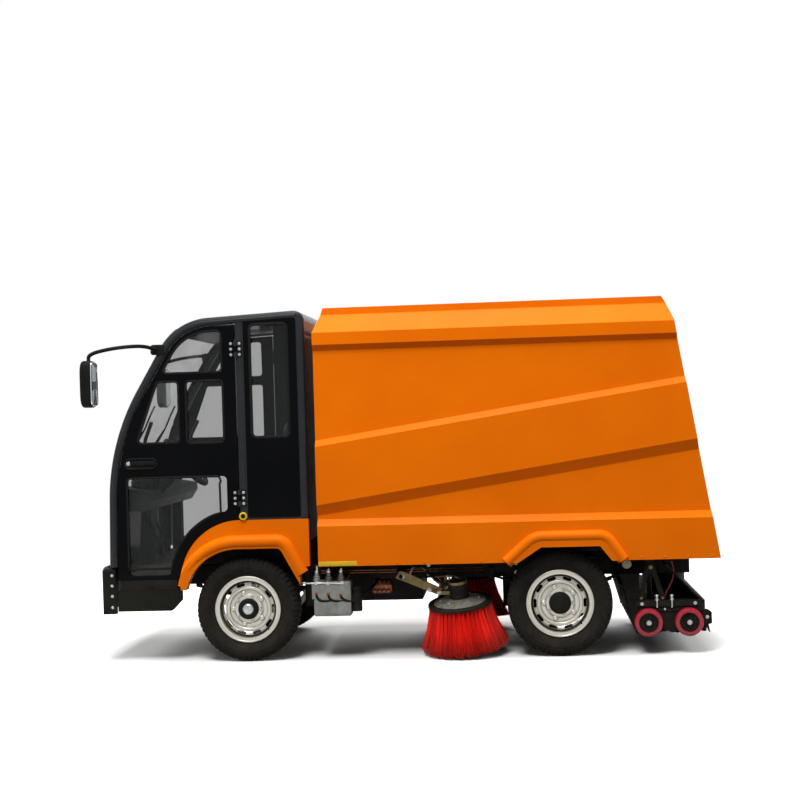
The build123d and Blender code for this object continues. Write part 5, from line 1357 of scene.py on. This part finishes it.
class SWEEPER_OT_broom_fittings(bpy.types.Operator):
    """Adds the broom's dished plate, motor, arm bolts, adjuster and hose"""
    bl_idname = "sweeper.broom_fittings"
    bl_label = "Broom fittings"

    def execute(self, context):
        hub = along_broom(0.0)
        dish = lathe(hub, BROOM_LEAN, [
            (0.2645, 0.150), (0.2655, 0.152), (0.272, 0.128), (0.281, 0.092), (0.2875, 0.066),
        ], 56)
        rim = lathe(hub, BROOM_LEAN, [
            (0.2465, 0.180), (0.248, 0.1868), (0.262, 0.1868), (0.2645, 0.184), (0.2648, 0.156), (0.2642, 0.150),
        ], 64)
        plate_bolts = [
            one for i in range(6) for one in bolt(along_broom(0.2765, 0.112, i * np.pi / 3), BROOM_LEAN, 0.009)
        ]
        motor = [lathe(hub, BROOM_LEAN, [
            (0.2925, 0.050), (0.293, 0.058), (0.302, 0.058), (0.305, 0.0555), (0.318, 0.0555), (0.320, 0.0575),
            (0.324, 0.0575), (0.326, 0.0555), (0.336, 0.0555), (0.338, 0.0575), (0.342, 0.0575), (0.344, 0.0555),
            (0.372, 0.0555), (0.378, 0.052), (0.389, 0.048), (0.391, 0.030), (0.394, 0.010),
        ], 40)]
        port = [(0, 0.012), (0.014, 0.012), (0.016, 0.009), (0.024, 0.009)]
        motor += [lathe(along_broom(0.388) + (dx, 0, 0), BROOM_LEAN, port, 12) for dx in (-0.022, 0.022)]
        places = [(at(x), -0.4585, z) for x, z in ((0.888, 0.452), (1.045, 0.368), (1.102, 0.350))]
        start, end = np.array([at(1.145), -0.500, 0.376]), np.array([at(1.202), -0.512, 0.452])
        share = np.array([0, 0.18, 0.2, 0.24, 0.62, 0.66, 0.68, 1.0])
        girth = np.array([0.5, 0.5, 1.0, 1.15, 1.15, 1.0, 0.5, 0.5])
        adjuster = [
            tube(start + share[:, None] * (end - start), 0.0105, ACROSS, 12, scale=girth),
            bar([(1.150, -0.512, 0.455), (1.198, -0.514, 0.449), (1.226, -0.516, 0.436)], 0.0055, ACROSS),
        ]
        hose = hose_tube([
            (1.172, -0.549, 0.404), (1.102, -0.535, 0.420), (1.022, -0.505, 0.498), (0.954, -0.467, 0.516),
            (0.930, -0.447, 0.462),
        ], 0.0096)
        pipe = hose_tube([
            (1.060, -0.462, 0.366), (1.095, -0.468, 0.362), (1.118, -0.470, 0.392), (1.112, -0.470, 0.432),
            (1.090, -0.466, 0.452), (1.075, -0.462, 0.44),
        ], 0.0045)
        pair("broom_dish_*", [dish], "disc_steel_worn", "broom_*")
        pair("broom_rim_*", [rim], "chassis_paint_dusty", "broom_*")
        pair("broom_bolts_*", plate_bolts, "bright_zinc_plated", "broom_*")
        pair("broom_motor_*", motor, "chassis_paint_dusty", "broom_arm_*")
        pair("arm_bolts_*", bolts(places, OUT, 0.013), "bright_zinc_plated", "broom_arm_*")
        pair("arm_adjuster_*", adjuster, "bright_zinc_plated", "broom_arm_*")
        pair("arm_hose_*", [hose], "seal_rubber_extruded", "broom_arm_*")
        pair("arm_pipe_*", [pipe], "copper_pipe_drawn", "broom_arm_*")
        return {"FINISHED"}


# Thickness of rubber sheet in m
SHEET = 0.006


def sheet_strip(top, foot):
    """A flat strip of rubber sheet between two edges, closed round its thickness."""
    run = unit(np.gradient(top, axis=0))
    out = unit(np.cross(run, foot - top)) * SHEET / 2
    grid = np.stack([top + out, top - out, foot - out, foot + out], axis=0)
    return patch(grid, wrap_u=True, cap=True)


class SWEEPER_OT_nozzle_fittings(bpy.types.Operator):
    """Adds the nozzle's angle bars, height adjusters, bolts, rubber skirts, front flap and lead"""
    bl_idname = "sweeper.nozzle_fittings"
    bl_label = "Nozzle fittings"

    def execute(self, context):
        angle = plate(
            rect(2.232, 0.268, 2.590, 0.3015, 0.003, 3), left_side(0.599),
            [(0, 0), (0, 0.016), (0.002, 0.018)],
        )
        lower = plate(
            rect(2.250, 0.238, 2.600, 0.262, 0.003, 3), left_side(0.5995),
            [(0, 0), (0, 0.007), (0.0015, 0.008)],
        )
        nose = plate(
            rounded([(2.600, 0.155), (2.652, 0.168), (2.652, 0.232), (2.628, 0.248), (2.600, 0.248)], 0.008),
            left_side(0.590), [(0.002, 0), (0, 0.003), (0, 0.024), (0.002, 0.026)],
        )
        piece("nozzle_bars", sides([angle, lower]), "chassis_paint_dusty", "nozzle")
        screws = []
        for x in (2.347, 2.431):
            for z, profile, count in (
                (0.262, [(0, 0.006), (0.066, 0.006), (0.068, 0.004)], 10),
                (0.303, [(0, 0.0125), (0.010, 0.0125), (0.012, 0.010)], 6),
                (0.326, [(0, 0.0115), (0.006, 0.0125), (0.009, 0.010)], 6),
            ):
                screws.append(lathe((at(x), -0.612, z), UP, profile, count))
        heads = [
            (at(2.391), -0.600, 0.252), (at(2.262), -0.618, 0.285), (at(2.560), -0.618, 0.285),
            (at(2.626), -0.616, 0.205),
        ]
        screws += bolts(heads, OUT, 0.010)
        piece("nozzle_screws", sides(screws), "bright_zinc_plated", "nozzle")
        # Skirts: rubber sheets whose lower edges waver by a few millimetres
        x = np.linspace(2.222, 2.620, 40)
        low = 0.122 + 0.004 * np.sin(x * 61) + 0.003 * np.sin(x * 173)
        beside = sheet_strip(line_of(at(x), -0.602, 0.205), line_of(at(x), -0.607, low))
        y = np.linspace(-0.59, 0.59, 80)
        low = 0.120 + 0.004 * np.sin(y * 47) + 0.003 * np.sin(y * 131)
        back = sheet_strip(line_of(at(2.619), y, 0.235), line_of(at(2.640), y, low))
        front = sheet_strip(line_of(at(2.150), y, 0.392), line_of(at(2.223), y, low + 0.02))
        skirts = sides([beside]) + [back, front] + sides([nose])
        piece("nozzle_skirts", skirts, "flap_rubber_sheet", "nozzle")
        hang = bolts([(at(2.318), -0.602, 0.491)], OUT, 0.012)
        hang += bolts([(at(2.262), -0.586, 0.312), (at(2.382), -0.586, 0.312)], OUT, 0.009)
        piece("hanger_bolts", sides(hang), "yellow_zinc_rolled", "nozzle")
        lead = hose_tube([
            (2.440, -0.560, 0.520), (2.452, -0.566, 0.470), (2.445, -0.570, 0.420), (2.425, -0.572, 0.380),
            (2.405, -0.572, 0.345), (2.392, -0.570, 0.302),
        ], 0.004)
        piece("nozzle_leads", [lead], "red_pvc_extruded", "nozzle")
        return {"FINISHED"}


class SWEEPER_OT_chassis_fittings(bpy.types.Operator):
    """Adds spring clamps, rail bolts, pipes along the rails and splash flaps behind the front wheels"""
    bl_idname = "sweeper.chassis_fittings"
    bl_label = "Chassis fittings"

    def execute(self, context):
        clamps = []
        for x, y, low, high in ((0.0, -0.270, 0.255, 0.372), (1.8, -0.347, 0.252, 0.380)):
            hoop = [
                (-0.030, low), (-0.030, high - 0.02), (-0.022, high), (0.022, high), (0.030, high - 0.02),
                (0.030, low),
            ]
            for dx in (-0.044, 0.044):
                clamps.append(bar([(x + dx, y + dy, z) for dy, z in hoop], 0.006, BACK))
        heads = [(at(x), -0.300, z) for x in (0.345, 1.035, 1.555) for z in (0.442, 0.498)]
        clamps += bolts(heads, OUT, 0.012)
        pipes = [bar([(x, -0.306, z) for x in (0.30, 1.0, 1.36)], 0.005, UP) for z in (0.462, 0.476)]
        piece("spring_clamps", sides(clamps), "bright_zinc_plated", "chassis")
        piece("rail_pipes", sides(pipes), "copper_pipe_drawn", "chassis")
        y = np.linspace(-0.618, -0.335, 20)
        low = 0.300 + 0.004 * np.sin(y * 60)
        flap = sheet_strip(line_of(at(0.374), y, 0.6885), line_of(at(0.380), y, low))
        piece("splash_flaps", sides([flap]), "flap_rubber_sheet", "chassis")
        return {"FINISHED"}


# Flares and liners

def smooth_run(points, radius, low):
    """The part above a height of a closed outline with rounded corners, started at its left foot."""
    line = rounded(points, radius, 9)
    keep = line[:, 1] > low
    first = int(np.flatnonzero(keep & ~np.roll(keep, 1))[0])
    line = np.roll(line, -first, axis=0)
    return line[: int(keep.sum())]


class SWEEPER_OT_flares(bpy.types.Operator):
    """Adds the rounded flares round the wheel openings: a low round profile carried along each arch"""
    bl_idname = "sweeper.flares"
    bl_label = "Wheel flares"

    def execute(self, context):
        arch = arc(-0.050, 0.352, 0.340, np.linspace(math.pi, math.pi / 2, 24))
        arch = arch[arch[:, 1] > 0.424]
        corners = [(-0.050, 0.692), (0.226, 0.692), (0.330, 0.500), (-0.050, 0.500)]
        knee = rounded(corners, (0.01, 0.075, 0.01, 0.01), 12)
        knee = knee[(knee[:, 0] > 0.05) & (knee[:, 1] > 0.548)]
        knee = knee[np.argsort(knee[:, 0] - knee[:, 1])]
        run = even_run(np.concatenate([arch, knee, [(0.303, 0.549), (0.3275, 0.504)]]), 70)
        slim = np.interp(np.linspace(0, 1, 70), [0, 0.12, 0.3, 1], [0.55, 0.8, 1, 1])
        front = sweep(on_left(run, CAB_SIDE - 0.001), bead(0.041, 0.036, 14), OUT, scale=slim)
        piece("front_flares", sides([front]), "orange_enamel_sprayed", "chassis")
        outline = [(1.474, 0.480), (2.176, 0.480), (2.176, 0.520), (2.066, 0.686), (1.664, 0.686), (1.474, 0.520)]
        run = smooth_run(outline, (0.01, 0.01, 0.01, 0.08, 0.13, 0.01), 0.560)[::-1]
        run = even_run(np.concatenate([[(1.505, 0.547)], run, [(2.158, 0.549)]]), 80)
        rear = moulding(run, 0.034, 0.031, HOPPER_SIDE - 0.001, 14)
        piece("rear_flares", sides([rear]), "orange_enamel_sprayed", "hopper")
        return {"FINISHED"}


class SWEEPER_OT_liners(bpy.types.Operator):
    """Adds the dark inner panels of the wheel housings and the curtains beside the nozzle"""
    bl_idname = "sweeper.liners"
    bl_label = "Wheel housing liners"

    def execute(self, context):
        sheet = [(0, 0), (0, 0.004), (0.004, 0.006)]
        front = plate(rect(-0.336, 0.545, 0.332, 0.7045, 0.010), left_side(0.390), sheet)
        rear = plate(rect(1.440, 0.572, 2.205, 0.6795, 0.010), left_side(0.440), sheet)
        curtain = plate(
            rounded([(2.222, 0.150), (2.252, 0.150), (2.252, 0.455), (2.142, 0.455)], 0.006), left_side(0.588),
            [(0, 0), (0, 0.005)],
        )
        shield = plate(
            rect(0.326, 0.300, 0.420, 0.540, 0.012), left_side(0.545), [(0, 0), (0, 0.003), (0.003, 0.005)],
        )
        piece("front_liners", sides([front, shield]), "chassis_paint_dusty", "chassis")
        piece("rear_liners", sides([rear]), "chassis_paint_dusty", "hopper")
        piece("nozzle_curtains", sides([curtain]), "flap_rubber_sheet", "nozzle")
        return {"FINISHED"}


# Stage

# The point that the lamps face, and the width of the camera's sensor in mm
LAMP_AIM = (0, 0, 1.1)
SENSOR_MM = 36
# Half the floor's width in m, and the distances between which it thins out to nothing
FLOOR_HALF, FLOOR_FADE = 14, (3.0, 7.5)


def view_matrix(settings):
    """Camera placed at its point, turned by yaw, then pitched and rolled, looking across the vehicle."""
    yaw, pitch, roll = settings.camera_turn
    forward = np.array([-math.sin(yaw), math.cos(yaw), 0])
    right = np.array([math.cos(yaw), math.sin(yaw), 0])
    up = np.array(UP)
    ahead = math.cos(pitch) * forward + math.sin(pitch) * up
    above = -math.sin(pitch) * forward + math.cos(pitch) * up
    across = math.cos(roll) * right + math.sin(roll) * above
    above = -math.sin(roll) * right + math.cos(roll) * above
    columns = np.stack([across, above, -ahead], axis=-1)
    return Matrix.Translation(settings.camera_place) @ Matrix(columns.tolist()).to_4x4()


def soft_lamp(name, place, width, power, gloss):
    """A large square lamp turned to face the middle of the vehicle, and whether gloss shows it."""
    data = bpy.data.lights.new(name, "AREA")
    data.shape = "SQUARE"
    data.size = width
    data.energy = power
    lamp = bpy.data.objects.new(name, data)
    turn = (Vector(LAMP_AIM) - Vector(place)).to_track_quat("-Z", "Y")
    lamp.matrix_world = Matrix.Translation(place) @ turn.to_matrix().to_4x4()
    lamp.visible_glossy = gloss
    bpy.context.scene.collection.objects.link(lamp)


def seen_rays(tree):
    """One for what the camera, reflections and glass see, and none for the light that surfaces receive."""
    ray = put(tree, "ShaderNodeLightPath").outputs
    seen = put(tree, "ShaderNodeMath", {0: ray["Is Camera Ray"], 1: ray["Is Glossy Ray"]}, operation="MAXIMUM")
    return put(
        tree, "ShaderNodeMath", {0: seen.outputs[0], 1: ray["Is Transmission Ray"]}, operation="MAXIMUM"
    ).outputs[0]


# Soft lamps: place, width, power and whether gloss shows them. The key stands high on the near side, so that
# ledges which face down stay dark, and the low lamps stay out of the roofs' gloss.
LAMPS = {
    "key_lamp": ((-1.4, -6.6, 10.4), 4.5, 1220, True),
    "top_lamp": ((0.2, -0.4, 9.0), 4.5, 520, True),
    "far_lamp": ((0.8, 5.2, 5.0), 4.0, 330, False),
    "front_lamp": ((-6.5, -1.0, 4.0), 3.5, 260, False),
    "rear_lamp": ((6.5, -0.5, 4.0), 3.5, 260, False),
}


class SweeperFinish(bpy.types.PropertyGroup):
    """Colours of the main finishes."""
    orange: bpy.props.StringProperty(
        name="Orange enamel", default="#F07404",
        description="Colour of the hopper and fenders, as an sRGB hex value",
    )
    faded: bpy.props.StringProperty(
        name="Faded orange", default="#E86C03",
        description="Colour of the sun-bleached patches, as an sRGB hex value",
    )


class SweeperStage(bpy.types.PropertyGroup):
    """Camera and light."""
    camera_place: bpy.props.FloatVectorProperty(
        name="Camera place", description="Where the camera stands", default=(0.672, -8.71, 1.426),
        subtype="TRANSLATION", unit="LENGTH",
    )
    camera_turn: bpy.props.FloatVectorProperty(
        name="Camera turn", description="Yaw, pitch and roll of the camera", subtype="EULER",
        default=(math.radians(4.68), math.radians(0.42), math.radians(-1.76)),
    )
    lens: bpy.props.FloatProperty(
        name="Lens", description="Focal length on a 36 mm sensor", default=63.4, min=10, max=200,
    )
    ambient: bpy.props.FloatProperty(
        name="Ambient", description="Strength of the light from all round", default=0.22, min=0, max=2,
    )


class SWEEPER_OT_finishes(bpy.types.Operator):
    """Makes the finishes and gives every CAD node its own"""
    bl_idname = "sweeper.finishes"
    bl_label = "Finishes"

    def execute(self, context):
        colours = context.scene.sweeper_finish
        make_finishes((colours.orange, colours.faded))
        for part in frame["record"]["subparts"]:
            node = NODES[part["node"]]
            kind = NODE_FINISH.get(part["node"], SLOT_FINISH[part["material_slot"]])
            material = bpy.data.materials[kind]
            if not node.material_slots:
                node.data.materials.append(material)
            for slot in node.material_slots:
                slot.material = material
        return {"FINISHED"}


class SWEEPER_OT_stage(bpy.types.Operator):
    """Sets up the floor, the white surroundings, the soft lamps and the camera"""
    bl_idname = "sweeper.stage"
    bl_label = "Stage"

    def execute(self, context):
        scene = context.scene
        settings = scene.sweeper_stage
        scene.view_settings.view_transform = "Standard"
        reach = np.linspace(-FLOOR_HALF, FLOOR_HALF, 2 * FLOOR_HALF + 1)
        grid = np.stack(np.meshgrid(reach, reach, [-0.001], indexing="ij"), axis=-1)[:, :, 0]
        verts, quads, _ = patch(grid)
        mesh = bpy.data.meshes.new("floor")
        mesh.from_pydata(verts.tolist(), [], quads.tolist())
        floor = bpy.data.objects.new("floor", mesh)
        scene.collection.objects.link(floor)
        # Matt studio floor, white to the eye and in reflections but grey to bounced light, so that it doesn't
        # light the underside. It thins out to nothing far from the object.
        tree, shader, coords = finish("studio_floor_matt", Roughness=0.9, Specular_IOR_Level=0.1)
        tree.links.new(blend(tree, seen_rays(tree), "#5A5A58", "#F6F6F5"), shader.inputs["Base Color"])
        far = put(tree, "ShaderNodeVectorMath", {0: coords}, operation="LENGTH").outputs["Value"]
        near, end = FLOOR_FADE
        fade = {"Value": far, "From Min": near, "From Max": end, "To Min": 1.0, "To Max": 0.0}
        edge = put(tree, "ShaderNodeMapRange", fade, interpolation_type="SMOOTHSTEP").outputs[0]
        tree.links.new(edge, shader.inputs["Alpha"])
        mesh.materials.append(bpy.data.materials["studio_floor_matt"])
        world = bpy.data.worlds.new("white_studio")
        world.use_nodes = True
        tree = world.node_tree
        tree.nodes.clear()
        level = {"Value": seen_rays(tree), "To Min": settings.ambient, "To Max": 1.0}
        strength = put(tree, "ShaderNodeMapRange", level).outputs[0]
        glow = put(tree, "ShaderNodeBackground", {"Color": (1, 1, 1, 1), "Strength": strength})
        put(tree, "ShaderNodeOutputWorld", {"Surface": glow.outputs[0]})
        scene.world = world
        for name, (place, width, power, gloss) in LAMPS.items():
            soft_lamp(name, place, width, power, gloss)
        data = bpy.data.cameras.new("photo_camera")
        data.lens = settings.lens
        data.sensor_width = SENSOR_MM
        camera = bpy.data.objects.new("photo_camera", data)
        camera.matrix_world = view_matrix(settings)
        scene.collection.objects.link(camera)
        scene.camera = camera
        return {"FINISHED"}


class SweeperShape(bpy.types.PropertyGroup):
    """Sizes and counts of the added pieces."""
    tread_blocks: bpy.props.IntProperty(
        name="Tread blocks", description="Blocks round one tyre", default=60, min=20, max=90,
    )
    tread_depth: bpy.props.FloatProperty(
        name="Tread depth", description="Depth of the tyre's grooves", default=0.0065, min=0.001, max=0.012,
        subtype="DISTANCE", unit="LENGTH",
    )
    strands: bpy.props.IntProperty(
        name="Bristle strands", description="Strands in one broom", default=2600, min=200, max=5000,
    )


class SWEEPER_PT_panel(bpy.types.Panel):
    """Lists the sweeper's sizes, colours and pieces in the sidebar."""
    bl_idname = "SWEEPER_PT_panel"
    bl_label = "Street sweeper"
    bl_space_type = "VIEW_3D"
    bl_region_type = "UI"
    bl_category = "Sweeper"

    def draw(self, context):
        layout = self.layout
        for group in ("sweeper_finish", "sweeper_shape", "sweeper_stage"):
            box = layout.box()
            values = getattr(context.scene, group)
            for key in values.bl_rna.properties.keys():
                if key not in ("rna_type", "name"):
                    box.prop(values, key)
        for kind in OPERATORS:
            layout.operator(kind.bl_idname)


GROUPS = {"sweeper_finish": SweeperFinish, "sweeper_shape": SweeperShape, "sweeper_stage": SweeperStage}
OPERATORS = (
    SWEEPER_OT_stage, SWEEPER_OT_finishes,
    SWEEPER_OT_tyres, SWEEPER_OT_wheel_fittings, SWEEPER_OT_bristles, SWEEPER_OT_door_trim,
    SWEEPER_OT_cab_trim, SWEEPER_OT_mirrors, SWEEPER_OT_nozzle_wheels, SWEEPER_OT_headlamps,
    SWEEPER_OT_front_trim, SWEEPER_OT_seats, SWEEPER_OT_cab_inside, SWEEPER_OT_hopper_trim,
    SWEEPER_OT_tailgate_fittings, SWEEPER_OT_valve_box, SWEEPER_OT_broom_fittings,
    SWEEPER_OT_nozzle_fittings, SWEEPER_OT_chassis_fittings, SWEEPER_OT_flares, SWEEPER_OT_liners,
)


def register():
    for kind in (*GROUPS.values(), *OPERATORS, SWEEPER_PT_panel):
        bpy.utils.register_class(kind)
    for name, kind in GROUPS.items():
        setattr(bpy.types.Scene, name, bpy.props.PointerProperty(type=kind))


def unregister():
    for name in GROUPS:
        delattr(bpy.types.Scene, name)
    for kind in (SWEEPER_PT_panel, *reversed(OPERATORS), *GROUPS.values()):
        bpy.utils.unregister_class(kind)


def main():
    register()
    for kind in OPERATORS:
        group, name = kind.bl_idname.split(".")
        getattr(getattr(bpy.ops, group), name)()


if __name__ == "__main__":
    main()
